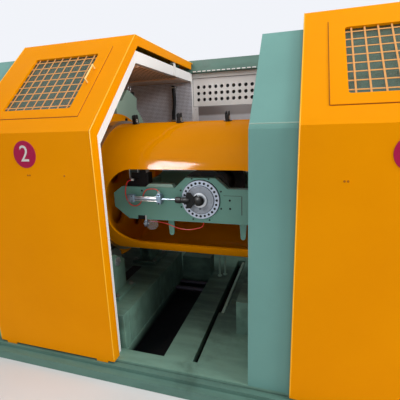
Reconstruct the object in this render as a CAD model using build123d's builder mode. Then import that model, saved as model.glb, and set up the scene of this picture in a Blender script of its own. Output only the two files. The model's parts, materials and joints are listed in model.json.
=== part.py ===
from build123d import *
from itertools import product
import os
from math import cos, radians, sin, tan

os.makedirs("parts", exist_ok=True)

# Layout along the machine: covered sections stand at both ends and between the bays
bay_count = 3
bay_opening = 865.0
section_length = 1135.0
bay_pitch = bay_opening + section_length
bay_centres = [(index - (bay_count - 1) / 2) * bay_pitch for index in range(bay_count)]
section_centres = [(index - bay_count / 2) * bay_pitch for index in range(bay_count + 1)]
machine_length = bay_count * bay_pitch + section_length

# Heights and depths of the housing, measured from the floor and from the tube's axis
axis_height = 1105.0
roof_rise = 1058.0
incline_rise = 615.0
incline_angle = 45.0
housing_front = 732.0
housing_rear = 1180.0
housing_bottom = 100.0
hood_roof_height = axis_height + roof_rise
bend_height = hood_roof_height - incline_rise
slope = radians(incline_angle)

# Fixed sections: a painted skin on the outside and a perforated lining on the inside
section_inset = 30.0
section_roof_drop = 97.0
section_roof_height = hood_roof_height - section_roof_drop
skin_thickness = 30.0
lining_thickness = 50.0
end_wall_thickness = 60.0

# Base frame
sill_width = 102.0
rail_shelf_width = 88.0
rail_shelf_height = 60.0
rail_width = 36.0
rail_height = 25.0
rear_sill_width = 180.0
pit_offset = 27.5
pit_width = 280.0
pit_length = 1140.0
gap_offset = 497.5
gap_width = 80.0
tray_thickness = 8.0
cross_beam_front = 545.0
cross_beam_depth = 150.0
cross_beam_height = 300.0

# Rear rail and rear wall
rear_rail_width = 60.0
rear_rail_rise = 27.0
rear_ledge_width = 50.0
rear_ledge_thickness = 46.0
rear_panel_thickness = 40.0
vent_margin = 66.0
vent_height = 262.0
vent_thickness = 20.0
vent_hole_diameter = 36.0
vent_spacing = 62.0
vent_columns = 13
vent_rows = 3

# Rotor tube
tube_diameter = 960.0
tube_wall = 16.0
tube_length = 1212.0
slot_length = 1080.0
slot_height = 531.0
slot_corner_radius = 190.0
rotor_tilt = 9.6
ring_height = 20.0
ring_width = 74.0
flange_height = 75.0
flange_thickness = 40.0
drum_depth = 80.0
journal_diameter = 240.0
journal_bore = 140.0
journal_overhang = 90.0
bearing_flange_diameter = 420.0
bearing_flange_thickness = 30.0
bearing_sleeve_diameter = 310.0
bearing_sleeve_length = 60.0

# Cradle carriers inside the tube
carrier_thickness = 30.0
carrier_hub_diameter = 150.0
carrier_window_diameter = 190.0
carrier_circle_diameter = 520.0
carrier_windows = 5
trunnion_diameter = 80.0
trunnion_length = 62.0

# Support rollers and their stands
roller_diameter = 200.0
roller_width = 60.0
roller_angle = 32.0
roller_pin_diameter = 50.0
plinth_height = 350.0
plinth_margin = 77.5
plinth_depth = 1040.0
pedestal_reach = 152.5
pedestal_front = 250.0
cheek_thickness = 22.0
cheek_width = 190.0
cheek_top_margin = 70.0

# Brackets behind the flanges, one at the left of each bay
bracket_thickness = 40.0
bracket_foot_inner = 420.0
bracket_points = [
    (735, -205),
    (740, 95),
    (655, 345),
    (523, 508),
    (418, 609),
    (432, 695),
    (278, 755),
    (179, 663),
    (80, 640),
    (80, 515),
    (300, 435),
    (440, 295),
    (520, 45),
    (480, -205),
    (420, -505),
]

# Wire guides on the outside of the tube
guide_count = 4
guide_spacing = 340.0
guide_offset = 480.0
guide_seat_gap = 0.1
guide_width = 14.0
guide_length = 44.0
guide_height = 46.0
guide_eye_diameter = 18.0

# Bobbin cradle
arm_margin = 105.0
arm_thickness = 50.0
arm_drop = 150.0
arm_rise = 70.0
arm_half_length = 530.0
nose_rise = 25.0
nose_drop = 70.0
nose_slope_length = 105.0
nose_shoulder_length = 65.0
hump_rise = 136.0
hump_half_width = 97.0
hump_foot_half_width = 170.0
notch_offset = 330.0
notch_width = 64.0
notch_depth = 26.0
yoke_thickness = 40.0
yoke_half_height = 68.0
hook_offset_left = 142.0
hook_offset_right = 343.0
hook_width = 46.0
hook_tip_diameter = 32.0
hook_drop = 118.0
hook_lap = 22.0
hook_thickness = 14.0

# Bobbin and its pintles
bobbin_offset = 85.0
bobbin_flange_diameter = 355.0
bobbin_barrel_diameter = 180.0
bobbin_side_gap = 45.0
bobbin_flange_thickness = 12.0
bobbin_bore_diameter = 70.0
pintle_plate_diameter = 244.0
pintle_plate_thickness = 12.0
pintle_face_diameter = 176.0
pintle_face_thickness = 5.0
pintle_hub_diameter = 84.0
pintle_hub_thickness = 6.0
pintle_hole_diameter = 9.0
pintle_circle_diameter = 212.0
pintle_holes = 24
pintle_grip = 30.0

# Clamp of the front pintle and its air cylinder
clamp_hub_diameter = 48.0
clamp_arm_length = 150.0
clamp_arm_width = 24.0
clamp_arm_thickness = 10.0
clamp_prong_angle = 50.0
clamp_prong_length = 84.0
cylinder_diameter = 26.0
cylinder_length = 170.0
cylinder_offset = 285.0
cylinder_standoff = 30.0
cylinder_block_length = 34.0
cylinder_block_height = 44.0
rod_diameter = 10.0
valve_offset = 335.0
valve_length = 120.0
valve_height = 90.0
valve_depth = 60.0
port_offset = 358.0
port_rise = 118.0
port_size = 16.0
port_stem_diameter = 10.6
port_reach = 36.0

# Sliding hood
hood_length = 920.0
hood_sheet = 10.0
hood_flange_depth = 65.0
hood_rear_gap = 10.0
panel_width = 664.0
panel_height = 639.0
panel_offset = 115.0
panel_thickness = 5.0
mesh_spacing = 63.0
mesh_bar = 9.0
mesh_columns = 8
mesh_rows = 8
mesh_offset = 184.0
shoe_length = 80.0
shoe_inset = 90.0
roof_roller_diameter = 50.0
roof_roller_width = 30.0
roof_roller_depth = 630.0
roof_roller_inset = 25.0
roof_bracket_width = 34.0
roof_bracket_rise = 12.5

# Air hoses on the cradles
hose_diameter = 6.0

# Clearances
running_clearance = 0.3
moving_clearance = 5.0

tube_radius = tube_diameter / 2
tube_inner_radius = tube_radius - tube_wall
ring_diameter = tube_diameter + 2 * ring_height
flange_diameter = tube_diameter + 2 * flange_height
drum_diameter = tube_diameter - 2 * drum_depth
arm_face = tube_radius - arm_margin
section_half = section_length / 2
rear_wall_inner = housing_rear - skin_thickness - lining_thickness


def export(builder, label):
    builder.part.label = label
    export_step(builder.part, f"parts/{label}.step")


def front_outline(inset, roof):
    """Bend and ridge of a layer that lies inset behind the hood's outer face."""
    front = -housing_front + inset
    bend = bend_height + inset * tan(slope) - inset / cos(slope)
    ridge = -housing_front + (roof - bend_height + inset / cos(slope)) / tan(slope)
    return [(front, bend), (ridge, roof)]


def tunnel_outline(outer, inner, roof, thickness, bottom):
    """Closed outline of a tunnel layer between two insets, open at the floor."""
    outside = front_outline(outer, roof)
    inside = front_outline(inner, roof - thickness)
    rear_outer = housing_rear - (outer - section_inset)
    rear_inner = housing_rear - (inner - section_inset)
    return [
        (outside[0][0], bottom),
        *outside,
        (rear_outer, roof),
        (rear_outer, bottom),
        (rear_inner, bottom),
        (rear_inner, roof - thickness),
        inside[1],
        inside[0],
        (inside[0][0], bottom),
    ]


def box(x, y, z):
    """Solid box from its ranges along the three axes."""
    size = (x[1] - x[0], y[1] - y[0], z[1] - z[0])
    centre = (sum(x) / 2, sum(y) / 2, sum(z) / 2)
    with Locations(centre):
        Box(*size)


# Base frame: front and rear sills, beams under the bays, and pits with a tray between them
front_face = -housing_front + section_inset
front_sill = (front_face, front_face + sill_width)
rear_sill = (housing_rear - rear_sill_width, housing_rear)
half_length = machine_length / 2

with BuildPart() as base_frame:
    box((-half_length, half_length), front_sill, (0, housing_bottom))
    box((-half_length, half_length), rear_sill, (0, housing_bottom))
    for centre in section_centres:
        box(
            (centre - section_half, centre + section_half),
            (front_sill[1], rear_sill[0]),
            (0, housing_bottom),
        )
    for centre in bay_centres:
        left = centre - bay_opening / 2
        pit_end = left + pit_offset + pit_width
        gap_left = left + gap_offset
        box((left, left + pit_offset), (front_sill[1], rear_sill[0]), (0, housing_bottom))
        box((pit_end, gap_left), (front_sill[1], rear_sill[0]), (0, housing_bottom))
        box(
            (gap_left + gap_width, centre + bay_opening / 2),
            (front_sill[1], rear_sill[0]),
            (0, housing_bottom),
        )
        box(
            (left + pit_offset, pit_end),
            (front_sill[1] + pit_length, rear_sill[0]),
            (0, housing_bottom),
        )
        box(
            (left + pit_offset, pit_end),
            (front_sill[1], front_sill[1] + pit_length),
            (0, tray_thickness),
        )
        box((gap_left, gap_left + gap_width), (front_sill[1], rear_sill[0]), (0, tray_thickness))
        box(
            (left + pit_offset, pit_end),
            (cross_beam_front, cross_beam_front + cross_beam_depth),
            (housing_bottom, cross_beam_height),
        )
export(base_frame, "base_frame")

# Front rail: a low shelf in front of the sill with the bar that the hoods run on
rail_centre = -housing_front + hood_sheet / 2
rail_top = rail_shelf_height + rail_height
with BuildPart() as front_rail:
    box(
        (-half_length, half_length),
        (front_face - rail_shelf_width, front_face),
        (0, rail_shelf_height),
    )
    box(
        (-half_length, half_length),
        (rail_centre - rail_width / 2, rail_centre + rail_width / 2),
        (rail_shelf_height, rail_top),
    )
export(front_rail, "front_rail")

# Rear rail: a top beam with an inner ledge for the rear shoes of the hoods
ledge_top = section_roof_height + rear_ledge_thickness
ledge_front = housing_rear - rear_rail_width - rear_ledge_width
with BuildPart() as rear_rail:
    box(
        (-half_length, half_length),
        (housing_rear - rear_rail_width, housing_rear),
        (section_roof_height, hood_roof_height + rear_rail_rise),
    )
    box(
        (-half_length, half_length),
        (ledge_front, housing_rear - rear_rail_width),
        (section_roof_height, ledge_top),
    )
export(rear_rail, "rear_rail")

# Fixed sections: skin and lining
for number, centre in enumerate(section_centres, 1):
    start = centre - section_half
    with BuildPart() as section_cover:
        with BuildSketch(Plane.YZ.offset(start)):
            with BuildLine():
                Polyline(
                    *tunnel_outline(
                        section_inset,
                        section_inset + skin_thickness,
                        section_roof_height,
                        skin_thickness,
                        housing_bottom,
                    ),
                    close=True,
                )
            make_face()
        extrude(amount=section_length)
    export(section_cover, f"section_cover_{number}")

    with BuildPart() as section_lining:
        with BuildSketch(Plane.YZ.offset(start)):
            with BuildLine():
                Polyline(
                    *tunnel_outline(
                        section_inset + skin_thickness,
                        section_inset + skin_thickness + lining_thickness,
                        section_roof_height - skin_thickness,
                        lining_thickness,
                        housing_bottom,
                    ),
                    close=True,
                )
            make_face()
        extrude(amount=section_length)
    export(section_lining, f"section_lining_{number}")

# End walls close the tunnel at both ends around the journals
lining_inset = section_inset + skin_thickness + lining_thickness
lining_roof = section_roof_height - skin_thickness - lining_thickness
with BuildPart() as end_walls:
    for start in (-half_length, half_length - end_wall_thickness):
        with BuildSketch(Plane.YZ.offset(start)):
            with BuildLine():
                front_points = front_outline(lining_inset, lining_roof)
                Polyline(
                    (front_points[0][0], housing_bottom),
                    *front_points,
                    (rear_wall_inner, lining_roof),
                    (rear_wall_inner, housing_bottom),
                    close=True,
                )
            make_face()
            with Locations((0, axis_height)):
                Circle(bearing_sleeve_diameter / 2, mode=Mode.SUBTRACT)
        extrude(amount=end_wall_thickness)
export(end_walls, "end_walls")

# Flanged journal bearings in the end walls
with BuildPart() as journal_bearings:
    for side in (-1, 1):
        outside = side * half_length
        with BuildSketch(Plane.YZ.offset(outside)):
            with Locations((0, axis_height)):
                Circle(bearing_flange_diameter / 2)
                Circle(journal_diameter / 2 + running_clearance, mode=Mode.SUBTRACT)
        extrude(amount=side * bearing_flange_thickness)
        with BuildSketch(Plane.YZ.offset(outside)):
            with Locations((0, axis_height)):
                Circle(bearing_sleeve_diameter / 2)
                Circle(journal_diameter / 2 + running_clearance, mode=Mode.SUBTRACT)
        extrude(amount=-side * bearing_sleeve_length)
export(journal_bearings, "journal_bearings")

# Rear wall of the bays: plain panels below and vent panels above
vent_top = section_roof_height - vent_margin
vent_bottom = vent_top - vent_height
with BuildPart() as rear_panels:
    for centre in bay_centres:
        bay = (centre - bay_opening / 2, centre + bay_opening / 2)
        box(bay, (housing_rear - rear_panel_thickness, housing_rear), (housing_bottom, vent_bottom))
        box(
            bay,
            (housing_rear - rear_panel_thickness, housing_rear),
            (vent_top, section_roof_height),
        )
export(rear_panels, "rear_panels")

with BuildPart() as vent_panels:
    for centre in bay_centres:
        vent_plane = Plane(
            origin=(centre, housing_rear - rear_panel_thickness, (vent_top + vent_bottom) / 2),
            x_dir=(1, 0, 0),
            z_dir=(0, -1, 0),
        )
        with BuildSketch(vent_plane):
            Rectangle(bay_opening, vent_height)
            with GridLocations(vent_spacing, vent_spacing, vent_columns, vent_rows):
                Circle(vent_hole_diameter / 2, mode=Mode.SUBTRACT)
        extrude(amount=-vent_thickness)
export(vent_panels, "vent_panels")

# Plinths under the rotor in every section: each runs on to the pit of the bay at its right,
# and a narrower pedestal reaches into the bay at its left
plinth_half = section_half - plinth_margin
with BuildPart() as roller_plinths:
    for number, centre in enumerate(section_centres):
        end = centre + plinth_half
        if number < bay_count:
            end = centre + section_half + pit_offset
        box(
            (centre - plinth_half, end),
            (-plinth_depth / 2, plinth_depth / 2),
            (housing_bottom, plinth_height),
        )
        if number > 0:
            box(
                (centre - section_half - pedestal_reach, centre - plinth_half),
                (-pedestal_front, plinth_depth / 2),
                (housing_bottom, plinth_height),
            )
export(roller_plinths, "roller_plinths")

# Cheeks on the plinths that hold the roller pins, their tops sloped clear of the flanges
ring_centre = tube_length / 2 + ring_width / 2
ring_places = [centre + side * ring_centre for centre in bay_centres for side in (-1, 1)]
roller_circle = (ring_diameter + roller_diameter) / 2 + running_clearance
roller_y = roller_circle * sin(radians(roller_angle))
roller_z = axis_height - roller_circle * cos(radians(roller_angle))
cheek_top = roller_z + cheek_top_margin
with BuildPart() as roller_cheeks:
    for place in ring_places:
        for face, side in product((-1, 1), (-1, 1)):
            inner = place + face * (roller_width / 2 + running_clearance)
            with BuildSketch(Plane.YZ.offset(inner)):
                with Locations((side * roller_y, (plinth_height + cheek_top) / 2)):
                    Rectangle(cheek_width, cheek_top - plinth_height)
                with Locations(Location((0, axis_height), side * roller_angle)):
                    Rectangle(
                        flange_diameter,
                        flange_diameter + 2 * moving_clearance,
                        mode=Mode.SUBTRACT,
                    )
                with Locations((side * roller_y, roller_z)):
                    Circle(roller_pin_diameter / 2 + running_clearance, mode=Mode.SUBTRACT)
            extrude(amount=face * cheek_thickness)
export(roller_cheeks, "roller_cheeks")

# Support rollers with their pins
with BuildPart() as support_rollers:
    for place in ring_places:
        for side in (-1, 1):
            with Locations(Location((place, side * roller_y, roller_z), (0, 90, 0))):
                Cylinder(roller_diameter / 2, roller_width)
                Cylinder(
                    roller_pin_diameter / 2,
                    roller_width + 2 * (running_clearance + cheek_thickness),
                )
export(support_rollers, "support_rollers")

# Brackets that reach around the drums from the rear of the plinths
with BuildPart() as brake_brackets:
    for centre in bay_centres:
        bracket_face = centre - tube_length / 2 - ring_width - flange_thickness - moving_clearance
        with BuildSketch(Plane.YZ.offset(bracket_face)):
            with BuildLine():
                Polyline(
                    (bracket_foot_inner, plinth_height),
                    (plinth_depth / 2, plinth_height),
                    *[(y, axis_height + z) for y, z in bracket_points],
                    close=True,
                )
            make_face()
        extrude(amount=-bracket_thickness)
export(brake_brackets, "brake_brackets")

# Rollers on the section roofs that carry the hoods
hood_underside = hood_roof_height - hood_sheet
with BuildPart() as roof_rollers:
    for centre in section_centres[:bay_count]:
        for side in (-1, 1):
            place = centre + side * (section_half - roof_roller_inset)
            if side < 0:
                place = centre + section_half - hood_length + roof_roller_inset
            axle = hood_underside - running_clearance - roof_roller_diameter / 2
            box(
                (place - roof_bracket_width / 2, place + roof_bracket_width / 2),
                (roof_roller_depth, roof_roller_depth + roof_roller_width / 2),
                (section_roof_height, axle + roof_bracket_rise),
            )
            with Locations(
                Location((place, roof_roller_depth - roof_roller_width / 2, axle), (90, 0, 0))
            ):
                Cylinder(roof_roller_diameter / 2, roof_roller_width)
export(roof_rollers, "roof_rollers")

# Rotor tube: one slotted length of tube in each bay
for number, centre in enumerate(bay_centres, 1):
    with BuildPart() as tube_section:
        with BuildSketch(Plane.YZ.offset(centre - tube_length / 2)):
            with Locations((0, axis_height)):
                Circle(tube_radius)
                Circle(tube_inner_radius, mode=Mode.SUBTRACT)
        extrude(amount=tube_length)
        slot_plane = Plane(
            origin=(centre, 0, axis_height),
            x_dir=(1, 0, 0),
            z_dir=(0, -cos(radians(rotor_tilt)), -sin(radians(rotor_tilt))),
        )
        with BuildSketch(slot_plane):
            RectangleRounded(slot_length, slot_height, slot_corner_radius)
        extrude(amount=tube_diameter, both=True, mode=Mode.SUBTRACT)
    export(tube_section, f"tube_section_{number}")

# Running rings shrunk on the spigots beside the tube lengths
with BuildPart() as running_rings:
    for centre in bay_centres:
        for side in (-1, 1):
            inner_face = centre + side * tube_length / 2
            with BuildSketch(Plane.YZ.offset(inner_face)):
                with Locations((0, axis_height)):
                    Circle(ring_diameter / 2)
                    Circle(tube_inner_radius, mode=Mode.SUBTRACT)
            extrude(amount=side * ring_width)
export(running_rings, "running_rings")

# Carriers: spoked plates inside the rings with the hubs that hold the cradle trunnions
with BuildPart() as cradle_carriers:
    for centre in bay_centres:
        for side in (-1, 1):
            face = centre + side * tube_length / 2
            with BuildSketch(Plane.YZ.offset(face)):
                with Locations((0, axis_height)):
                    Circle(tube_inner_radius)
                    with PolarLocations(carrier_circle_diameter / 2, carrier_windows):
                        Circle(carrier_window_diameter / 2, mode=Mode.SUBTRACT)
            extrude(amount=side * carrier_thickness)
            with BuildSketch(Plane.YZ.offset(face)):
                with Locations((0, axis_height)):
                    Circle(carrier_hub_diameter / 2)
            extrude(amount=side * ring_width)
            with BuildSketch(Plane.YZ.offset(face)):
                with Locations((0, axis_height)):
                    Circle(trunnion_diameter / 2 + running_clearance)
            extrude(amount=side * ring_width, mode=Mode.SUBTRACT)
export(cradle_carriers, "cradle_carriers")

# Flanges bolted to the outer faces of the rings
flange_face = tube_length / 2 + ring_width
with BuildPart() as rotor_flanges:
    for centre, side in product(bay_centres, (-1, 1)):
        with BuildSketch(Plane.YZ.offset(centre + side * flange_face)):
            with Locations((0, axis_height)):
                Circle(flange_diameter / 2)
        extrude(amount=side * flange_thickness)
export(rotor_flanges, "rotor_flanges")

# Drums between the flanges inside the inner sections
drum_half = bay_pitch / 2 - flange_face - flange_thickness
with BuildPart() as rotor_drums:
    for centre in section_centres[1:-1]:
        with BuildSketch(Plane.YZ.offset(centre - drum_half)):
            with Locations((0, axis_height)):
                Circle(drum_diameter / 2)
        extrude(amount=2 * drum_half)
export(rotor_drums, "rotor_drums")

# Hollow journals on the end flanges
journal_start = (bay_count - 1) / 2 * bay_pitch + flange_face + flange_thickness
with BuildPart() as rotor_journals:
    for side in (-1, 1):
        with BuildSketch(Plane.YZ.offset(side * journal_start)):
            with Locations((0, axis_height)):
                Circle(journal_diameter / 2)
                Circle(journal_bore / 2, mode=Mode.SUBTRACT)
        extrude(amount=side * (half_length + journal_overhang - journal_start))
export(rotor_journals, "rotor_journals")

# Wire guides stand in two rows on the tube
with BuildPart() as wire_guides:
    for centre in bay_centres:
        for row in (-1, 1):
            outward = (0, -row * sin(radians(rotor_tilt)), row * cos(radians(rotor_tilt)))
            for index in range(guide_count):
                place = centre - guide_offset + index * guide_spacing
                foot = tube_radius + guide_seat_gap
                guide_plane = Plane(
                    origin=(place, foot * outward[1], axis_height + foot * outward[2]),
                    x_dir=(1, 0, 0),
                    z_dir=outward,
                )
                with BuildSketch(guide_plane):
                    Rectangle(guide_width, guide_length)
                extrude(amount=guide_height)
                eye = Plane(
                    origin=(
                        place,
                        (foot + guide_height / 2) * outward[1],
                        axis_height + (foot + guide_height / 2) * outward[2],
                    ),
                    z_dir=(1, 0, 0),
                )
                with BuildSketch(eye):
                    Circle(guide_eye_diameter / 2)
                extrude(amount=guide_width, both=True, mode=Mode.SUBTRACT)
export(wire_guides, "wire_guides")


def arm_outline(centre):
    """Side outline of a cradle arm, seen from the front."""
    low = axis_height - arm_drop
    high = axis_height + arm_rise
    left = centre - arm_half_length
    right = centre + arm_half_length
    hub = centre + bobbin_offset
    notch_left = centre - notch_offset - notch_width / 2
    notch_right = centre - notch_offset + notch_width / 2
    return [
        (left, axis_height + nose_rise),
        (left + nose_shoulder_length, high),
        (hub - hump_foot_half_width, high),
        (hub - hump_half_width, axis_height + hump_rise),
        (hub + hump_half_width, axis_height + hump_rise),
        (hub + hump_foot_half_width, high),
        (right - nose_shoulder_length, high),
        (right, axis_height + nose_rise),
        (right, axis_height - nose_drop),
        (right - nose_slope_length, low),
        (notch_right, low),
        (notch_right, low + notch_depth),
        (notch_left, low + notch_depth),
        (notch_left, low),
        (left + nose_slope_length, low),
        (left, axis_height - nose_drop),
    ]


# Cradles: two profiled arms, end yokes with trunnions and the hanging hooks
arm_inner = arm_face - arm_thickness
for number, centre in enumerate(bay_centres, 1):
    hub_x = centre + bobbin_offset
    with BuildPart() as cradle_frame:
        for side in (-1, 1):
            arm_plane = Plane(
                origin=(0, side * arm_face, 0), x_dir=(1, 0, 0), z_dir=(0, -1, 0)
            )
            with BuildSketch(arm_plane):
                with BuildLine():
                    Polyline(*arm_outline(centre), close=True)
                make_face()
                with Locations((hub_x, axis_height)):
                    Circle(bobbin_bore_diameter / 2, mode=Mode.SUBTRACT)
            extrude(amount=side * arm_thickness)
            for hook_x in (centre - hook_offset_left, centre + hook_offset_right):
                hook_top = axis_height - arm_drop
                hook_plane = Plane(
                    origin=(0, side * arm_inner, 0), x_dir=(1, 0, 0), z_dir=(0, -1, 0)
                )
                with BuildSketch(hook_plane):
                    with Locations((hook_x, hook_top + hook_lap / 2)):
                        Rectangle(hook_width, hook_lap)
                    with Locations((hook_x, hook_top - hook_drop + hook_tip_diameter / 2)):
                        Circle(hook_tip_diameter / 2)
                    make_hull()
                extrude(amount=side * hook_thickness)
        for side in (-1, 1):
            outer = centre + side * arm_half_length
            inner = outer - side * yoke_thickness
            box(
                (min(outer, inner), max(outer, inner)),
                (-arm_inner, arm_inner),
                (axis_height - yoke_half_height, axis_height + nose_rise),
            )
            trunnion_end = centre + side * (tube_length / 2 + trunnion_length)
            middle = (outer + trunnion_end) / 2
            with Locations(Location((middle, 0, axis_height), (0, 90, 0))):
                Cylinder(trunnion_diameter / 2, abs(trunnion_end - outer))
    export(cradle_frame, f"cradle_frame_{number}")

    # Pintles: a perforated plate outside the front arm, a plain one outside the rear arm
    bobbin_face = arm_inner - bobbin_side_gap
    with BuildPart() as pintles:
        for side in (-1, 1):
            outward = (0, side, 0)
            plate_plane = Plane(
                origin=(hub_x, side * arm_face, axis_height), x_dir=(1, 0, 0), z_dir=outward
            )
            with BuildSketch(plate_plane):
                Circle(pintle_plate_diameter / 2)
                if side < 0:
                    with PolarLocations(pintle_circle_diameter / 2, pintle_holes):
                        Circle(pintle_hole_diameter / 2, mode=Mode.SUBTRACT)
            extrude(amount=pintle_plate_thickness)
            with BuildSketch(plate_plane.offset(pintle_plate_thickness)):
                Circle(pintle_face_diameter / 2)
            extrude(amount=pintle_face_thickness)
            with BuildSketch(plate_plane.offset(pintle_plate_thickness + pintle_face_thickness)):
                Circle(pintle_hub_diameter / 2)
            extrude(amount=pintle_hub_thickness)
            with BuildSketch(plate_plane):
                Circle(bobbin_bore_diameter / 2 - running_clearance)
            extrude(amount=-(arm_face - bobbin_face + pintle_grip))
    export(pintles, f"pintles_{number}")

    # Clamp fork on the front pintle, its air cylinder and the valve block
    hub_face = arm_face + pintle_plate_thickness + pintle_face_thickness + pintle_hub_thickness
    cylinder_y = arm_face + cylinder_standoff
    with BuildPart() as clamp:
        clamp_plane = Plane(
            origin=(hub_x, -hub_face, axis_height), x_dir=(1, 0, 0), z_dir=(0, -1, 0)
        )
        with BuildSketch(clamp_plane):
            Circle(clamp_hub_diameter / 2)
            with Locations((-clamp_arm_length / 2, 0)):
                Rectangle(clamp_arm_length, clamp_arm_width)
            for turn in (-clamp_prong_angle, clamp_prong_angle):
                with Locations(Location((-pintle_hub_diameter / 2, 0), turn)):
                    Rectangle(clamp_arm_width, clamp_prong_length)
        extrude(amount=clamp_arm_thickness)
    export(clamp, f"pintle_clamp_{number}")

    with BuildPart() as air_cylinder:
        cylinder_x = centre - cylinder_offset
        with Locations(Location((cylinder_x, -cylinder_y, axis_height), (0, 90, 0))):
            Cylinder(cylinder_diameter / 2, cylinder_length)
        for end in (-1, 1):
            block_x = cylinder_x + end * (cylinder_length + cylinder_block_length) / 2
            half_block = cylinder_block_length / 2
            half_high = cylinder_block_height / 2
            box(
                (block_x - half_block, block_x + half_block),
                (-cylinder_y - cylinder_diameter / 2, -arm_face),
                (axis_height - half_high, axis_height + half_high),
            )
        rod_start = cylinder_x + cylinder_length / 2 + cylinder_block_length
        rod_end = hub_x - clamp_arm_length
        with Locations(
            Location(((rod_start + rod_end) / 2, -cylinder_y, axis_height), (0, 90, 0))
        ):
            Cylinder(rod_diameter / 2, rod_end - rod_start)
    export(air_cylinder, f"air_cylinder_{number}")

    with BuildPart() as valve_block:
        valve_x = centre - valve_offset
        valve_z = axis_height + arm_rise
        box(
            (valve_x - valve_length / 2, valve_x + valve_length / 2),
            (-arm_inner - valve_depth / 2, -arm_inner + valve_depth / 2),
            (valve_z, valve_z + valve_height),
        )
        port_x = centre - port_offset
        port_z = axis_height + port_rise
        with Locations(
            Location((port_x, -(arm_inner + valve_depth / 2 + port_reach / 2), port_z), (90, 0, 0))
        ):
            Cylinder(port_stem_diameter / 2, port_reach)
        box(
            (port_x - port_size / 2, port_x + port_size / 2),
            (
                -arm_inner - valve_depth / 2 - port_reach,
                -arm_inner - valve_depth / 2 - port_reach + port_size,
            ),
            (port_z - port_size / 2, port_z + port_size / 2),
        )
    export(valve_block, f"valve_block_{number}")

    with BuildPart() as bobbin:
        for side in (-1, 1):
            flange_plane = Plane(
                origin=(hub_x, side * bobbin_face, axis_height), z_dir=(0, -side, 0)
            )
            with BuildSketch(flange_plane):
                Circle(bobbin_flange_diameter / 2)
            extrude(amount=bobbin_flange_thickness)
        with Locations(Location((hub_x, 0, axis_height), (90, 0, 0))):
            Cylinder(bobbin_barrel_diameter / 2, 2 * bobbin_face - bobbin_flange_thickness)
            Cylinder(bobbin_bore_diameter / 2, 2 * bobbin_face, mode=Mode.SUBTRACT)
    export(bobbin, f"bobbin_{number}")

# Sliding hoods: folded sheet with an end flange, shoes on both rails and a mesh panel
hood_rear = housing_rear - rear_rail_width - hood_rear_gap
for number, centre in enumerate(section_centres[:bay_count], 1):
    section_end = centre + section_half
    hood_end = section_end + moving_clearance + hood_sheet
    hood_start = hood_end - hood_length
    outside = front_outline(0, hood_roof_height)
    inside = front_outline(hood_sheet, hood_roof_height - hood_sheet)
    flange_inside = front_outline(hood_flange_depth, hood_roof_height - hood_flange_depth)
    incline_middle = panel_offset + panel_height / 2
    panel_plane = Plane(
        origin=(
            (hood_start + hood_end) / 2,
            -housing_front + incline_middle * cos(slope),
            bend_height + incline_middle * sin(slope),
        ),
        x_dir=(1, 0, 0),
        z_dir=(0, -sin(slope), cos(slope)),
    )
    mesh_middle = mesh_offset + mesh_rows * mesh_spacing / 2 - incline_middle
    mesh_width = mesh_columns * mesh_spacing
    mesh_height = mesh_rows * mesh_spacing
    with BuildPart() as hood_shell:
        with BuildSketch(Plane.YZ.offset(hood_start)):
            with BuildLine():
                Polyline(
                    (-housing_front, housing_bottom),
                    *outside,
                    (hood_rear, hood_roof_height),
                    (hood_rear, hood_roof_height - hood_sheet),
                    inside[1],
                    inside[0],
                    (-housing_front + hood_sheet, housing_bottom),
                    close=True,
                )
            make_face()
        extrude(amount=hood_length)
        with BuildSketch(Plane.YZ.offset(hood_end)):
            with BuildLine():
                Polyline(
                    (-housing_front, housing_bottom),
                    *outside,
                    (ledge_front - moving_clearance, hood_roof_height),
                    (ledge_front - moving_clearance, hood_roof_height - hood_flange_depth),
                    flange_inside[1],
                    flange_inside[0],
                    (-housing_front + hood_flange_depth, housing_bottom),
                    close=True,
                )
            make_face()
        extrude(amount=-hood_sheet)
        with BuildSketch(panel_plane):
            with Locations((0, mesh_middle)):
                Rectangle(mesh_width, mesh_height)
        extrude(amount=2 * hood_sheet, both=True, mode=Mode.SUBTRACT)
        for place in (hood_start + shoe_inset, hood_end - shoe_inset):
            box(
                (place - shoe_length / 2, place + shoe_length / 2),
                (-housing_front, -housing_front + hood_sheet),
                (rail_top + running_clearance, housing_bottom),
            )
            box(
                (place - shoe_length / 2, place + shoe_length / 2),
                (ledge_front + moving_clearance, hood_rear),
                (ledge_top + running_clearance, hood_roof_height - hood_sheet),
            )
    export(hood_shell, f"hood_shell_{number}")

    with BuildPart() as hood_panel:
        with BuildSketch(panel_plane):
            Rectangle(panel_width, panel_height)
            with Locations((0, mesh_middle)):
                with GridLocations(mesh_spacing, mesh_spacing, mesh_columns, mesh_rows):
                    Rectangle(mesh_spacing - mesh_bar, mesh_spacing - mesh_bar, mode=Mode.SUBTRACT)
        extrude(amount=panel_thickness)
    export(hood_panel, f"hood_panel_{number}")


def hose_radii(points):
    """Bend radii of a hose route: 0.45 of the shorter run over the tangent of half the turn."""
    radii = []
    for before, corner, after in zip(points, points[1:], points[2:]):
        run_in = Vector(*corner) - Vector(*before)
        run_out = Vector(*after) - Vector(*corner)
        turn = radians(run_in.get_angle(run_out))
        radii.append(0.45 * min(run_in.length, run_out.length) / tan(turn / 2))
    return radii


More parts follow.
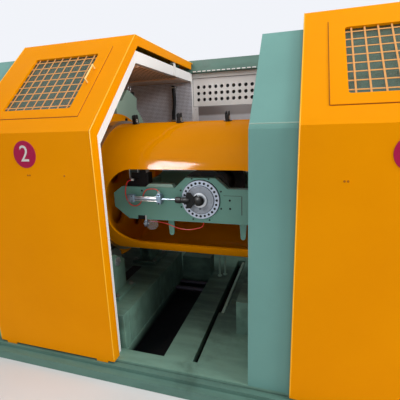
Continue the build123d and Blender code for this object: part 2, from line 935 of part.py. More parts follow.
# Hose routes of one cradle: along the machine, out from the front arm's face, above the axis
hose_routes = {
    "clamp_hose": [
        (-366, 8, 118),
        (-394, 8, 118),
        (-420, 8, 100),
        (-434, 8, 58),
        (-438, 8, 18),
        (-428, 8, -22),
        (-404, 8, -54),
        (-368, 8, -62),
        (-334, 8, -44),
        (-314, 8, -8),
        (-302, 9, 30),
        (-280, 13, 56),
        (-238, 19, 64),
        (-187, 25, 60),
        (-187, 25, 22),
    ],
    "lower_hose": [
        (-330, -25, -124),
        (-330, -25, -160),
        (-282, -25, -172),
        (-214, -25, -170),
        (-150, -25, -184),
        (-84, -25, -209),
        (-10, -25, -216),
        (50, -25, -200),
        (92, -25, -186),
        (92, -25, -150),
    ],
}
for number, centre in enumerate(bay_centres, 1):
    for name, route in hose_routes.items():
        points = [(centre + x, -arm_face - y, axis_height + z) for x, y, z in route]
        radii = hose_radii(points)
        with BuildPart() as hose:
            with BuildLine() as path:
                FilletPolyline(*points, radius=radii)
            with BuildSketch(Plane(origin=path.line @ 0, z_dir=path.line % 0)):
                Circle(hose_diameter / 2)
            sweep()
        if number == 1:
            print(name, "radii", [round(radius) for radius in radii])
            print(name, "length", round(path.wires()[0].length))
        export(hose, f"{name}_{number}")
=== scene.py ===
# %% [markdown]
# A tubular stranding machine, dressed piece by piece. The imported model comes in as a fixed
# frame: its nodes already stand in the right places, and everything made here is fitted to
# them. The numbers are metres, the machine lies along X, and the hoods face -Y.

# %% Load the frame
import bpy
import bmesh
import json
from math import cos, pi, radians, sin
from mathutils import Matrix, Vector

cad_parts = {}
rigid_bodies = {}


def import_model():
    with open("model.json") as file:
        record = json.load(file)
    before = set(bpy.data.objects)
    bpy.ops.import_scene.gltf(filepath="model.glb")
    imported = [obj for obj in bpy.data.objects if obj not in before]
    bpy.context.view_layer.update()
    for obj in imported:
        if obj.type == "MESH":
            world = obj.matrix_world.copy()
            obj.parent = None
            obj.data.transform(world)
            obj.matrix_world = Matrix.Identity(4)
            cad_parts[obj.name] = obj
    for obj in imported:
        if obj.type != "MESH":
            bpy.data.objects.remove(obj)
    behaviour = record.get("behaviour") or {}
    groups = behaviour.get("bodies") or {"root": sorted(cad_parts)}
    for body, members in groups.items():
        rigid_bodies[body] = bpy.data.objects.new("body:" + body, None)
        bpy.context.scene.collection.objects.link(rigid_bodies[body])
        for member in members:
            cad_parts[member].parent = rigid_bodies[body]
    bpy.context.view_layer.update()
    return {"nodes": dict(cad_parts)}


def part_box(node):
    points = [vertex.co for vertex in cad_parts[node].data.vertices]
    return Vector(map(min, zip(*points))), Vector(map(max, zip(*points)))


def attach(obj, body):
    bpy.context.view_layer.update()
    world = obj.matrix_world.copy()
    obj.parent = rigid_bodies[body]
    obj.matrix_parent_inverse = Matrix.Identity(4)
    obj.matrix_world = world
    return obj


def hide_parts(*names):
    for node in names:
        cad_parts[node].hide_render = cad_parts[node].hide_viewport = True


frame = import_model()
nodes = frame["nodes"]
scene = bpy.context.scene

# %% [markdown]
# The layout. The same few lengths place every piece: the bays and sections repeat every two
# metres, the rotor's axis runs at 1.105 m, and the hoods fold over a slope of 45 degrees.
# Naming them once keeps the cells below short and lets one change move all that hangs on it.

# %% Layout
bays = {1: -2.0, 2: 0.0, 3: 2.0}
sections = {1: -3.0, 2: -1.0, 3: 1.0, 4: 3.0}
axis_z = 1.105
front_y = -0.732
bend_z = 1.548
slope = radians(45)
tube_r = 0.48
arm_y = -0.375
vent_low = 1.738
bobbin_x = 0.085
hood_box = {k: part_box(f"hood_shell_{k}") for k in bays}
for k, (low, high) in hood_box.items():
    print("hood", k, [round(v, 4) for v in low], [round(v, 4) for v in high])

# %% [markdown]
# The camera and the view settings. The photograph was taken by a person who stood in front of
# the bay and looked slightly down and to the left. It is squeezed sideways, which a camera
# can't do, so one focal length between its two scales shows both hoods and the whole bay.

# %% Camera and view
scene.view_settings.view_transform = "Standard"
camera_data = bpy.data.cameras.new("camera")
camera_data.lens = 29.4
camera_data.sensor_width = 36.0
camera_data.dof.use_dof = False
camera = bpy.data.objects.new("camera", camera_data)
scene.collection.objects.link(camera)
scene.camera = camera
yaw, pitch, roll = -0.3030, -0.2319, 0.0329
forward = Vector((sin(yaw) * cos(pitch), cos(yaw) * cos(pitch), sin(pitch)))
level_right = Vector((cos(yaw), -sin(yaw), 0))
down = forward.cross(level_right)
right = level_right * cos(roll) + down * sin(roll)
up = right.cross(forward)
turn = Matrix((right, up, -forward)).transposed()
camera.matrix_world = Matrix.Translation((0.6745, -2.276, 1.572)) @ turn.to_4x4()
print("camera looks along", [round(v, 3) for v in forward])

# %% [markdown]
# Shader maths in plain Python. A Wire is one output socket of a material's nodes. Adding or
# multiplying two wires adds a Math node, so that a pattern reads like the formula it is.
# Shade.node makes every other node: first its settings, then the values or links of its
# sockets. The alternative, wiring each node by hand, takes five lines for every sum. Each
# finish is filed in `looks` under its name, with the record's slot that it usually belongs to.

# %% A wire and a shade
class Wire:
    def __init__(self, shade, socket):
        self.shade = shade
        self.socket = socket

    def maths(self, operation, first, second=0.0):
        return self.shade.node("ShaderNodeMath", {"operation": operation}, {0: first, 1: second})

    def __add__(self, other):
        return self.maths("ADD", self, other)

    def __sub__(self, other):
        return self.maths("SUBTRACT", self, other)

    def __rsub__(self, other):
        return self.maths("SUBTRACT", other, self)

    def __mul__(self, other):
        return self.maths("MULTIPLY", self, other)

    def __truediv__(self, other):
        return self.maths("DIVIDE", self, other)

    def __abs__(self):
        return self.maths("ABSOLUTE", self)

    __radd__ = __add__
    __rmul__ = __mul__

    def sine(self):
        return self.maths("SINE", self)

    def fraction(self):
        return self.maths("FRACT", self)

    def ramp(self, low, high, start=0.0, end=1.0):
        """0 below low, 1 above high, smooth in between; start and end rescale it."""
        sockets = {"Value": self, "From Min": low, "From Max": high, "To Min": start, "To Max": end}
        return self.shade.node("ShaderNodeMapRange", {"interpolation_type": "SMOOTHSTEP"}, sockets)


class Shade:
    def __init__(self, name):
        self.material = bpy.data.materials.new(name)
        self.material.use_nodes = True
        self.tree = self.material.node_tree
        self.tree.nodes.clear()
        output = self.tree.nodes.new("ShaderNodeOutputMaterial")
        self.shader = self.tree.nodes.new("ShaderNodeBsdfPrincipled")
        self.tree.links.new(self.shader.outputs["BSDF"], output.inputs["Surface"])

    def node(self, kind, settings=None, sockets=None, output=0):
        made = self.tree.nodes.new(kind)
        for key, value in (settings or {}).items():
            setattr(made, key, value)
        for key, value in (sockets or {}).items():
            self.feed(made.inputs[key], value)
        return Wire(self, made.outputs[output])

    def feed(self, socket, value):
        if isinstance(value, Wire):
            self.tree.links.new(value.socket, socket)
        else:
            socket.default_value = value

    def place(self, output="Object"):
        return self.node("ShaderNodeTexCoord", output=output)

    def axes(self, vector):
        return [self.node("ShaderNodeSeparateXYZ", None, {0: vector}, k) for k in range(3)]

    def noise(self, scale, detail=3.0, roughness=0.5, stretch=(1, 1, 1)):
        spread = self.node("ShaderNodeMapping", None, {"Vector": self.place(), "Scale": stretch})
        sockets = {"Vector": spread, "Scale": scale, "Detail": detail, "Roughness": roughness}
        return self.node("ShaderNodeTexNoise", None, sockets)

    def mix(self, factor, first, second):
        sockets = {0: factor, 6: first, 7: second}
        settings = {"data_type": "RGBA", "clamp_factor": True}
        return self.node("ShaderNodeMix", settings, sockets, 2)

    def bump(self, height, distance, strength=1.0):
        sockets = {"Height": height, "Distance": distance, "Strength": strength}
        return self.node("ShaderNodeBump", None, sockets)

    def set(self, **values):
        for key, value in values.items():
            self.feed(self.shader.inputs[key.replace("_", " ")], value)
        return self.material


def rgb(red, green, blue):
    """A colour as it is read off a screen, 0 to 255, turned into linear light."""
    def linear(part):
        part = part / 255
        return part / 12.92 if part <= 0.04045 else ((part + 0.055) / 1.055) ** 2.4
    return (linear(red), linear(green), linear(blue), 1.0)


cut_white = rgb(250, 249, 247)
looks = {}


def keep(slot_name, make, name, *given):
    looks[name] = make(name, *given), slot_name


def add_looks(make, rows_by_slot):
    """Makes a finish of every row: a name, a clean and a worn colour, then what make takes."""
    for slot_name, rows in rows_by_slot.items():
        for name, clean, worn, *rest in rows:
            keep(slot_name, make, name, rgb(*clean), rgb(*worn), *rest)
    print("finishes so far", len(looks))


print("orange in linear light", [round(part, 3) for part in rgb(226, 140, 4)])

# %% [markdown]
# Sprayed paint. On the real machine the hoods and the rotor wear gloss orange and the housing
# a satin green. A sprayed coat isn't a flat colour: it has an orange-peel surface a few
# millimetres across, slow drifts of tone, dust, and finger marks that change its gloss.
# Three noises at three scales give these, so one function serves every painted piece. The
# covers of the fixed sections are green outside, but their cut ends, which face along the
# machine, are white like the lining, so an end colour follows the direction of the face.

# %% Sprayed paint
def sprayed(name, colour, dusty, gloss, coat=0.0, mirror=0.2, soil=0.25, ends=None):
    shade = Shade(name)
    drift = shade.noise(1.7, 4.0)
    marks = shade.noise(3.0, 6.0, 0.62)
    specks = shade.noise(150.0, 2.0)
    tone = shade.mix(drift.ramp(0.35, 0.68) * 0.35, colour, dusty)
    tone = shade.mix(marks.ramp(0.56, 0.78) * soil, tone, dusty)
    if ends:
        x = shade.axes(shade.place())[0]
        nx = shade.axes(shade.place("Normal"))[0]
        tone = shade.mix(abs(nx).ramp(0.6, 0.9) * (1 - abs(x).ramp(3.45, 3.5)), tone, ends)
    rough = marks.ramp(0.3, 0.75, gloss - 0.05, gloss + 0.13) + specks * 0.05
    skin = shade.bump(shade.noise(230.0, 1.0), 0.00012, 0.55)
    dents = shade.node("ShaderNodeBump", None, {
        "Height": shade.noise(2.3, 1.0), "Distance": 0.0035, "Strength": 0.35, "Normal": skin})
    return shade.set(Base_Color=tone, Roughness=rough, Normal=dents, Coat_Weight=coat,
                     Coat_Roughness=0.09, Specular_IOR_Level=mirror)


add_looks(sprayed, {
    "orange_paint": (
        ("orange_gloss", (229, 143, 0), (213, 129, 0), 0.24, 0.1, 0.0),
        ("orange_hood", (246, 154, 0), (234, 142, 0), 0.36, 0.01, 0.02),
        ("orange_deep", (176, 98, 0), (158, 86, 0), 0.5),
        # A painted highlight: the pull bars are orange paint, drawn in the pale cream of their
        # gloss.
        ("orange_cream", (252, 216, 140), (244, 200, 122), 0.3),
        # A painted highlight: the hoods' folded edges, drawn in a lighter orange.
        ("orange_edge", (255, 186, 40), (250, 172, 26), 0.3),
        ("orange_pale", (222, 158, 88), (204, 144, 80), 0.4),
        ("plum_gloss", (176, 30, 76), (160, 28, 68), 0.25, 0.05, 0.1),
        ("seam_red", (136, 58, 14), (110, 46, 14), 0.6)),
    "green_paint": (
        ("green_satin", (120, 168, 160), (106, 150, 142), 0.36, 0.05),
        ("green_skin", (116, 164, 156), (102, 146, 138), 0.38, 0.03, 0.12, 0.25, cut_white),
        ("green_light", (110, 159, 145), (94, 137, 124), 0.34, 0.06),
        ("green_pale", (158, 190, 176), (132, 164, 150), 0.4)),
    "white_paint": (
        ("white_satin", (236, 233, 233), (218, 214, 213), 0.4),
        ("white_bright", (248, 247, 245), (236, 235, 231), 0.35)),
    "black_paint": (
        ("black_satin", (12, 12, 14), (28, 28, 30), 0.35),
        ("seam_dark", (66, 62, 62), (48, 46, 46), 0.6)),
})

# %% [markdown]
# The base frame's paint is walked on, and oil and steel dust fall on it for years. Here the
# same green gets large dark patches, fine grit and scratches down to grey, all from noise that
# is stretched along the machine. Hand-painted dirt would look as good, but it can't repeat.
# The trays of the pits lie lower than the beams and are painted near black: painted shade for the
# dark depth of the pits. The beams under the rotor darken towards the rear, broken up by the
# streaks: painted shade under the rotor. So the colour also follows height and depth.

# %% Trodden green of the base, with painted shade
def trodden(name, clean, worn):
    shade = Shade(name)
    patches = shade.noise(2.6, 6.0, 0.6)
    streaks = shade.noise(9.0, 5.0, 0.6, (0.35, 1.6, 1.0))
    grit = shade.noise(120.0, 4.0, 0.7)
    tone = shade.mix(streaks.ramp(0.35, 0.7) * 0.6, clean, worn)
    tone = shade.mix(patches.ramp(0.52, 0.72) * 0.6, tone, rgb(66, 84, 74))
    tone = shade.mix(grit.ramp(0.6, 0.75) * 0.25, tone, rgb(132, 142, 132))
    _, y, z = shade.axes(shade.place())
    # Painted shade under the rotor: darker from the front towards the rear, broken up by the
    # streaks.
    painted_shade_under_rotor = y.ramp(-0.46, 0.0) * (1 - y.ramp(0.7, 0.95)) * streaks.ramp(0.2, 0.6, 0.5, 0.72)
    tone = shade.mix(painted_shade_under_rotor, tone, rgb(22, 38, 38))
    # Painted shade in the pits: below the beams' tops the trays turn near black.
    painted_pit_shade = (1 - z.ramp(0.012, 0.094)) * y.ramp(-0.6, -0.59)
    tone = shade.mix(painted_pit_shade, tone, rgb(4, 7, 11))
    rough = patches.ramp(0.4, 0.75, 0.5, 0.28) + grit * 0.15
    return shade.set(Base_Color=tone, Roughness=rough, Specular_IOR_Level=0.15,
                     Normal=shade.bump(grit + streaks * 0.6, 0.0006, 0.6))


add_looks(trodden, {"green_paint": (
    ("green_base", (124, 162, 146), (104, 140, 126)),
    ("green_sill", (98, 134, 122), (82, 114, 104))),
})

# %% [markdown]
# The lining inside the sections is thin sheet with thousands of small holes over a sound-proof
# mat, painted off-white. Cutting the holes would cost millions of faces, so they are drawn:
# a hole is where the distance to the nearest crossing of a grid is small. The sheet stands in
# three planes, so the grid uses the two axes that lie in each face. Its cut ends stay plain.

# %% Perforated lining
def perforated(name, pitch, hole, sheet, dark):
    shade = Shade(name)
    x, y, z = shade.axes(shade.place())
    nx, _, nz = shade.axes(shade.place("Normal"))
    flat = abs(nz).ramp(0.9, 0.95)
    across = z * (1 - flat) + y * flat
    along_x = (x / pitch).fraction() - 0.5
    along_s = (across / pitch).fraction() - 0.5
    reach = along_x * along_x + along_s * along_s
    share = (hole / pitch) ** 2
    open_hole = (1 - reach.ramp(share * 0.2, share * 0.32)) * (1 - abs(nx).ramp(0.5, 0.9))
    grime = shade.noise(2.2, 5.0, 0.6)
    tone = shade.mix(grime.ramp(0.4, 0.75) * 0.5, sheet, rgb(196, 190, 190))
    tone = shade.mix(open_hole, tone, dark)
    tone = shade.mix(abs(nx).ramp(0.5, 0.9), tone, cut_white)
    return shade.set(Base_Color=tone, Roughness=grime * 0.3 + 0.32, Specular_IOR_Level=0.25,
                     Normal=shade.bump(1 - open_hole, 0.0012, 0.5))


hole_pitch = 0.014
keep("white_lining", perforated, "white_lining", hole_pitch, 0.009, rgb(232, 236, 247),
     rgb(112, 110, 118))
print("lining holes are drawn at a pitch of", hole_pitch, "m")

# %% [markdown]
# Bare metal and rubber. Turned steel shows fine rings round its axis, drawn from the distance
# to that axis, and a stain of old oil. The pintle plates are faced, so their rings run round
# the bobbin's axis, which comes back every two metres. Anodised aluminium, moulded black
# plastic and the red air hose are plain, with grain and wear in their gloss.

# %% Metals, plastic and hose
def turned(name, colour, axis="x", gloss=0.28, groove=0.00004):
    shade = Shade(name)
    x, y, z = shade.axes(shade.place())
    z = z - axis_z
    if axis == "x":
        away = shade.node("ShaderNodeMath", {"operation": "SQRT"}, {0: y * y + z * z})
    else:
        x = ((x - bobbin_x) / 2 + 0.5).fraction() * 2 - 1
        away = shade.node("ShaderNodeMath", {"operation": "SQRT"}, {0: x * x + z * z})
    rings = (away * 2400).sine() + ((x + y) * 2400).sine()
    stain = shade.noise(14.0, 5.0, 0.6)
    tone = shade.mix(stain.ramp(0.45, 0.8) * 0.6, colour, rgb(96, 84, 74))
    rough = stain.ramp(0.35, 0.8, gloss, gloss + 0.22)
    return shade.set(Base_Color=tone, Metallic=1.0, Roughness=rough,
                     Normal=shade.bump(rings, groove, 0.4))


def grained(name, colour, worn, gloss, size=400.0, metal=0.0):
    shade = Shade(name)
    grain = shade.noise(size, 2.0)
    wear = shade.noise(24.0, 5.0, 0.65)
    tone = shade.mix(wear.ramp(0.5, 0.75) * 0.6, colour, worn)
    rough = wear.ramp(0.3, 0.7, gloss, gloss + 0.18) + grain * 0.05
    return shade.set(Base_Color=tone, Metallic=metal, Roughness=rough, Specular_IOR_Level=0.3,
                     Normal=shade.bump(grain, 0.00008, 0.5))


keep("machined_steel", turned, "steel_turned", rgb(176, 174, 172))
keep("machined_steel", turned, "steel_faced", rgb(178, 188, 202), "y", 0.3, 0.00016)
add_looks(grained, {
    "machined_steel": (
        ("steel_plate", (200, 206, 214), (150, 152, 158), 0.3, 300.0, 0.85),
        ("steel_bright", (206, 210, 214), (150, 152, 156), 0.26, 300.0, 0.9),
        ("zinc_bolt", (206, 204, 200), (150, 142, 130), 0.28, 500.0, 1.0),
        ("zinc_oily", (122, 128, 122), (84, 84, 76), 0.4, 500.0, 0.8),
        ("cylinder_grey", (150, 160, 172), (110, 116, 124), 0.34, 300.0, 0.85),
        ("bar_blued", (60, 58, 70), (70, 46, 40), 0.36, 60.0, 0.6),
        ("disc_grey", (136, 142, 150), (104, 108, 116), 0.4, 300.0, 0.5)),
    "cylinder_aluminium": (("cap_blue", (146, 168, 186), (104, 122, 138), 0.32, 300.0, 0.6),),
    "black_plastic": (
        ("black_moulded", (11, 11, 12), (26, 25, 25), 0.42),
        ("bobbin_dark", (40, 42, 41), (92, 84, 74), 0.4, 90.0, 0.3),
        ("mat_black", (16, 15, 16), (30, 28, 28), 0.7, 900.0),
        ("coil_grey", (72, 82, 78), (44, 48, 46), 0.4)),
    "red_hose": (("red_tube", (238, 56, 46), (212, 60, 50), 0.24),),
    # The ceiling's dark board is painted shade between its slats. The slats' brown and the strip's
    # tan are painted orange light on white lining.
    "black_paint": (("board_brown", (52, 38, 30), (40, 30, 24), 0.6, 200.0),),
    "white_lining": (
        ("slat_brown", (236, 196, 160), (206, 164, 130), 0.5, 200.0),
        ("strip_tan", (236, 212, 194), (212, 186, 168), 0.45, 200.0)),
    "white_paint": (
        ("fitting_white", (216, 216, 210), (180, 176, 166), 0.4),
        ("ceramic_pale", (206, 206, 200), (170, 168, 160), 0.22)),
})

# %% [markdown]
# Two clear sheets: the polycarbonate guard in front of the small pulley, and a brown sheet behind
# the bars of each hood's window, which darkens what shows through them. A glass shader would do,
# but a thin sheet seen at this size needs no bending of light: a mostly see-through surface with a
# sharp shine is cheaper, and a noise of scratches changes how much of it is seen.

# %% Clear sheets
def clear_sheet(name, colour, clear, marked, scale, stretch, gloss):
    shade = Shade(name)
    scratches = shade.noise(scale, 6.0, 0.7, stretch)
    return shade.set(Base_Color=colour, Roughness=scratches.ramp(0.4, 0.8, gloss, gloss + 0.25),
                     Alpha=scratches.ramp(0.45, 0.8, clear, marked), Metallic=0.0)


for row in (("guard_clear", rgb(206, 220, 216), 0.10, 0.24, 40.0, (6, 1, 1), 0.1),
            ("window_dusty", rgb(80, 66, 20), 0.22, 0.46, 9.0, (1, 1, 1), 0.4)):
    keep("white_paint", clear_sheet, *row)
print("finishes so far", len(looks))

# %% [markdown]
# Two finishes follow a place on the piece. The roof rollers are black wheels on white brackets in
# one node, so the paint changes where the bracket starts, along Y. The sheet below the vent turns
# darker in a band under its upper edge, so its grey falls off with the height.

# %% Finishes that follow a place
def wheel_and_bracket(name, border):
    shade = Shade(name)
    y = shade.axes(shade.place())[1]
    scuffs = shade.noise(60.0, 4.0, 0.6)
    wheel = shade.mix(scuffs.ramp(0.5, 0.75) * 0.6, rgb(28, 28, 30), rgb(70, 68, 66))
    bracket = shade.mix(scuffs.ramp(0.5, 0.8) * 0.4, rgb(236, 235, 230), rgb(190, 188, 182))
    return shade.set(Base_Color=shade.mix(y.ramp(border - 0.001, border + 0.001), wheel, bracket),
                     Roughness=scuffs.ramp(0.3, 0.7, 0.35, 0.55))


def sooty_sheet(name, top, reach):
    shade = Shade(name)
    z = shade.axes(shade.place())[2]
    # Darker in a band under the sheet's upper edge, just below the vent panel.
    top_darkening = (z + shade.noise(7.0, 4.0) * 0.03).ramp(top - reach, top - reach * 0.7)
    stains = shade.noise(5.0, 5.0, 0.6)
    tone = shade.mix(stains.ramp(0.45, 0.75) * 0.4, rgb(192, 190, 196), rgb(170, 166, 168))
    return shade.set(Base_Color=shade.mix(top_darkening, tone, rgb(122, 112, 110)),
                     Roughness=stains.ramp(0.3, 0.7, 0.35, 0.5))


keep("white_paint", wheel_and_bracket, "wheel_white", 0.63)
keep("white_lining", sooty_sheet, "sheet_sooty", vent_low, 0.09)
print("finishes in all", len(looks))

# %% [markdown]
# Every node of the frame keeps its shape and takes its finish. A table from a finish to the
# starts of the nodes' names is shorter than a line for each node. Where two starts fit a name,
# the longer one counts.

# %% Finishes of the frame's nodes
worn_by = {
    "green_base": ("base_frame", "roller_plinths", "roller_cheeks"),
    # The rear rail takes the darker sill green as painted shade on its front face.
    "green_sill": ("front_rail", "rear_rail"), "green_skin": ("section_cover",),
    "green_satin": ("end_walls",), "green_light": ("cradle_frame",),
    "green_pale": ("brake_brackets",), "white_lining": ("section_lining",),
    "white_satin": ("rear_panels",), "white_bright": ("vent_panels",),
    "wheel_white": ("roof_rollers",), "orange_hood": ("hood_shell", "hood_panel"),
    "orange_gloss": ("tube_section", "cradle_carriers", "rotor_flanges", "rotor_drums"),
    "steel_turned": ("support_rollers", "running_rings", "rotor_journals"),
    "steel_faced": ("pintles",), "steel_plate": ("journal_bearings",),
    "cylinder_grey": ("air_cylinder",), "black_satin": ("pintle_clamp",),
    "black_moulded": ("wire_guides", "valve_block"), "bobbin_dark": ("bobbin",),
    "red_tube": ("clamp_hose", "lower_hose"),
}
finishes = {start: looks[finish][0] for finish, starts in worn_by.items() for start in starts}
for node_name, thing in nodes.items():
    match = max((start for start in finishes if node_name.startswith(start)), key=len)
    thing.data.materials.clear()
    thing.data.materials.append(finishes[match])
print("dressed nodes", len(nodes))

# %% [markdown]
# Tools for making pieces. A piece is a list of parts, and each part is one of the functions
# below followed by its arguments: a box, a turned rod or ring, a bolt, a sheet. Nearly all of
# them are lofts, rings of points that are joined with quads. The part list is made at an easy
# place, and the matrix `at` sets it where it belongs. Faces that meet at less than 40 degrees
# are shaded smooth, and a small bevel catches the light on the sharp ones, as real edges do.
# The machine repeats itself every two metres, so `repeat` makes a group of pieces in each bay
# or section from one table; its matrix holds for a place at x = 0.

# %% Mesh helpers
smooth_below = radians(40)
to_front, to_rear, to_right = (0, -1, 0), (0, 1, 0), (1, 0, 0)


def piece(name, parts, finish, body, at, bevel=0.0, segments=2, slot_name=None):
    mesh = bmesh.new()
    for add, *given in parts:
        add(mesh, *given)
    bmesh.ops.transform(mesh, matrix=at, verts=mesh.verts)
    bmesh.ops.recalc_face_normals(mesh, faces=mesh.faces)
    data = bpy.data.meshes.new(name)
    mesh.to_mesh(data)
    mesh.free()
    material, usual_slot = looks[finish]
    data.materials.append(material)
    thing = bpy.data.objects.new(name, data)
    scene.collection.objects.link(thing)
    if bevel:
        edge = thing.modifiers.new("edge", "BEVEL")
        edge.width = bevel
        edge.segments = segments
        edge.limit_method = "ANGLE"
        edge.angle_limit = smooth_below
    data.shade_smooth()
    data.set_sharp_from_angle(angle=smooth_below)
    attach(thing, body)


def shift(x, y=0.0, z=0.0):
    return Matrix.Translation((x, y, z))


def repeat(places, body, at, rows):
    """Makes the rows' pieces at every place; {} in the body's name becomes its number."""
    for k, x in places.items():
        for name, parts, finish, *rest in rows:
            piece(f"{name}_{k}", parts, finish, body.format(k), shift(x) @ at, *rest)
    print("made", ", ".join(row[0] for row in rows), "of", *places)


def facing(x, y, z):
    """A place with its x to the right, its y up and its z towards the front."""
    return shift(x, y, z) @ Matrix((to_right, (0, 0, -1), (0, 1, 0))).to_4x4()


def circle(count, radius, start=0.0):
    """Points spread evenly on a circle, the first one at the start angle in degrees."""
    angles = [radians(start) + 2 * pi * step / count for step in range(count)]
    return [(radius * cos(angle), radius * sin(angle)) for angle in angles]


def loft(mesh, rings, ends=(0, -1), closed=False):
    """Joins rings of points in turn; the rings in ends get a face, closed joins last to first."""
    made = [[mesh.verts.new(spot) for spot in points] for points in rings]
    for lower, upper in zip(made, made[1:] + made[:1] * closed):
        for step in range(len(lower)):
            after = (step + 1) % len(lower)
            mesh.faces.new((lower[step], lower[after], upper[after], upper[step]))
    for end in ends:
        mesh.faces.new(made[end])


def turned_rings(profile, sides, centre, direction):
    """Rings for a turned body: profile is (radius, height along direction) pairs."""
    turn_to = Vector((0, 0, 1)).rotation_difference(Vector(direction)).to_matrix()
    return [[turn_to @ Vector((x, y, height)) + Vector(centre) for x, y in circle(sides, radius)]
            for radius, height in profile]


def rod(mesh, profile, sides, centre=(0, 0, 0), direction=(0, 0, 1)):
    loft(mesh, turned_rings(profile, sides, centre, direction))


def ring(mesh, profile, sides, centre=(0, 0, 0), direction=(0, 0, 1)):
    """A hollow body: the profile runs round and closes on itself."""
    loft(mesh, turned_rings(profile, sides, centre, direction), (), True)


def bolt(mesh, radius, height, centre, direction=(0, 0, 1)):
    """A washer and a hexagon head with a chamfer."""
    rod(mesh, [(radius * 1.28, 0), (radius * 1.28, height * 0.18)], 20, centre, direction)
    rod(mesh, [(radius, height * 0.18), (radius, height * 0.85), (radius * 0.86, height)], 6,
        centre, direction)


def screw(mesh, radius, height, centre, direction=(0, 0, 1)):
    """A cap screw: a round head with a socket sunk in it."""
    head = [(radius, 0), (radius, height * 0.85), (radius * 0.9, height), (radius * 0.55, height)]
    loft(mesh, turned_rings(head, 18, centre, direction), (0,))
    socket = [(radius * 0.55, height), (radius * 0.5, height * 0.35)]
    loft(mesh, turned_rings(socket, 18, centre, direction), (-1,))


def box(mesh, low, high):
    size = Vector(high) - Vector(low)
    middle = (Vector(high) + Vector(low)) / 2
    for vert in bmesh.ops.create_cube(mesh, size=1.0)["verts"]:
        vert.co = vert.co * size + middle


def sheet(mesh, outline, low, high):
    """A solid plate from one outline, in the local XY plane."""
    loft(mesh, [[(x, y, z) for x, y in outline] for z in (low, high)])


def frame_plate(mesh, outer, inner, low, high):
    """A plate between two outlines of the same number of points, in the local XY plane."""
    edges = ((outer, low), (outer, high), (inner, high), (inner, low))
    loft(mesh, [[(x, y, z) for x, y in outline] for outline, z in edges], (), True)


def rounded(low, high, radius, grow=0.0, steps=6):
    """A rectangle with round corners, grown on every side, of 4 * (steps + 1) points."""
    points = []
    left, right = low[0] - grow, high[0] + grow
    lower, upper = low[1] - grow, high[1] + grow
    corners = ((right - radius, upper - radius, 0), (left + radius, upper - radius, 90),
               (left + radius, lower + radius, 180), (right - radius, lower + radius, 270))
    for x, y, start in corners:
        for step in range(steps + 1):
            angle = radians(start + 90 * step / steps)
            points.append((x + radius * cos(angle), y + radius * sin(angle)))
    return points


def placed(mesh, matrix, add, *given):
    """Adds one part and moves only that part."""
    before = len(mesh.verts)
    add(mesh, *given)
    mesh.verts.ensure_lookup_table()
    bmesh.ops.transform(mesh, matrix=matrix, verts=mesh.verts[before:])


print("mesh helpers ready, a circle of four:", [[round(v, 2) for v in p] for p in circle(4, 1)])

# %% [markdown]
# The air hoses on each cradle are 6 mm polyurethane tube. A NURBS curve of order 3 through listed
# points bends the way such a tube does, and a round bevel gives it thickness.
# The clamp hose runs from the valve block round the end of the cylinder to its front block,
# and the lower hose from the notch under the arm along to the arm's underside.

# %% Air hoses
hose_routes = {
    "clamp_hose": ([
        (-366, -383, 118), (-394, -383, 118), (-420, -383, 100), (-434, -383, 58),
        (-438, -383, 18), (-428, -383, -22), (-404, -383, -54), (-368, -383, -62),
        (-334, -383, -44), (-314, -383, -8), (-302, -384, 30), (-280, -388, 56),
        (-238, -394, 64), (-187, -400, 60), (-187, -400, 22)], 0.528),
    "lower_hose": ([
        (-330, -350, -124), (-330, -350, -160), (-282, -350, -172), (-214, -350, -170),
        (-150, -350, -184), (-84, -350, -209), (-10, -350, -216), (50, -350, -200),
        (92, -350, -186), (92, -350, -150)], 0.489),
}
hose_thickness = 0.006
for k, bay in bays.items():
    for hose_name, (route, hose_length) in hose_routes.items():
        curve = bpy.data.curves.new(f"{hose_name}_tube_{k}", "CURVE")
        curve.dimensions = "3D"
        curve.bevel_depth = hose_thickness / 2
        curve.bevel_resolution = 4
        curve.use_fill_caps = True
        spline = curve.splines.new("NURBS")
        spline.points.add(len(route) - 1)
        for point, (x, y, z) in zip(spline.points, route):
            point.co = (bay + x / 1000, y / 1000, axis_z + z / 1000, 1)
        spline.order_u = 3
        spline.use_endpoint_u = True
        spline.resolution_u = 12
        curve.materials.append(looks["red_tube"][0])
        hose = bpy.data.objects.new(f"{hose_name}_tube_{k}", curve)
        scene.collection.objects.link(hose)
        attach(hose, f"cradle_{k}")
        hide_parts(f"{hose_name}_{k}")
print("hoses", len(hose_routes) * len(bays))

# %% [markdown]
# A sloping plane carries the mesh panel and the handle of each hood. Pieces there are made
# flat, with x along the machine, y up the slope and z out of the sheet, and one matrix sets
# them in place. Working on the slope directly would need sines in every line.

# %% The slope's own plane
hood_x = {k: (low.x + high.x) / 2 for k, (low, high) in hood_box.items()}
up_slope = Vector((0, cos(slope), sin(slope)))
axes = Matrix((to_right, up_slope, Vector(to_right).cross(up_slope))).transposed()
slope_at = shift(0, front_y, bend_z) @ axes.to_4x4()
print("middles of the hoods", hood_x)

# %% [markdown]
# The removable panel: a plate of 664 by 639 mm with a square window whose corners are round.
# The plate is one ring of quads between two outlines with the same number of points, pulled out to
# its thickness, so it stays watertight without a boolean cut. A thin dark band round it is the
# joint that shows between the panel and the hood. Behind the window flat bars cross each other one
# bar apart in depth, and behind them a brown, partly see-through sheet darkens and browns the rotor
# that shows through.

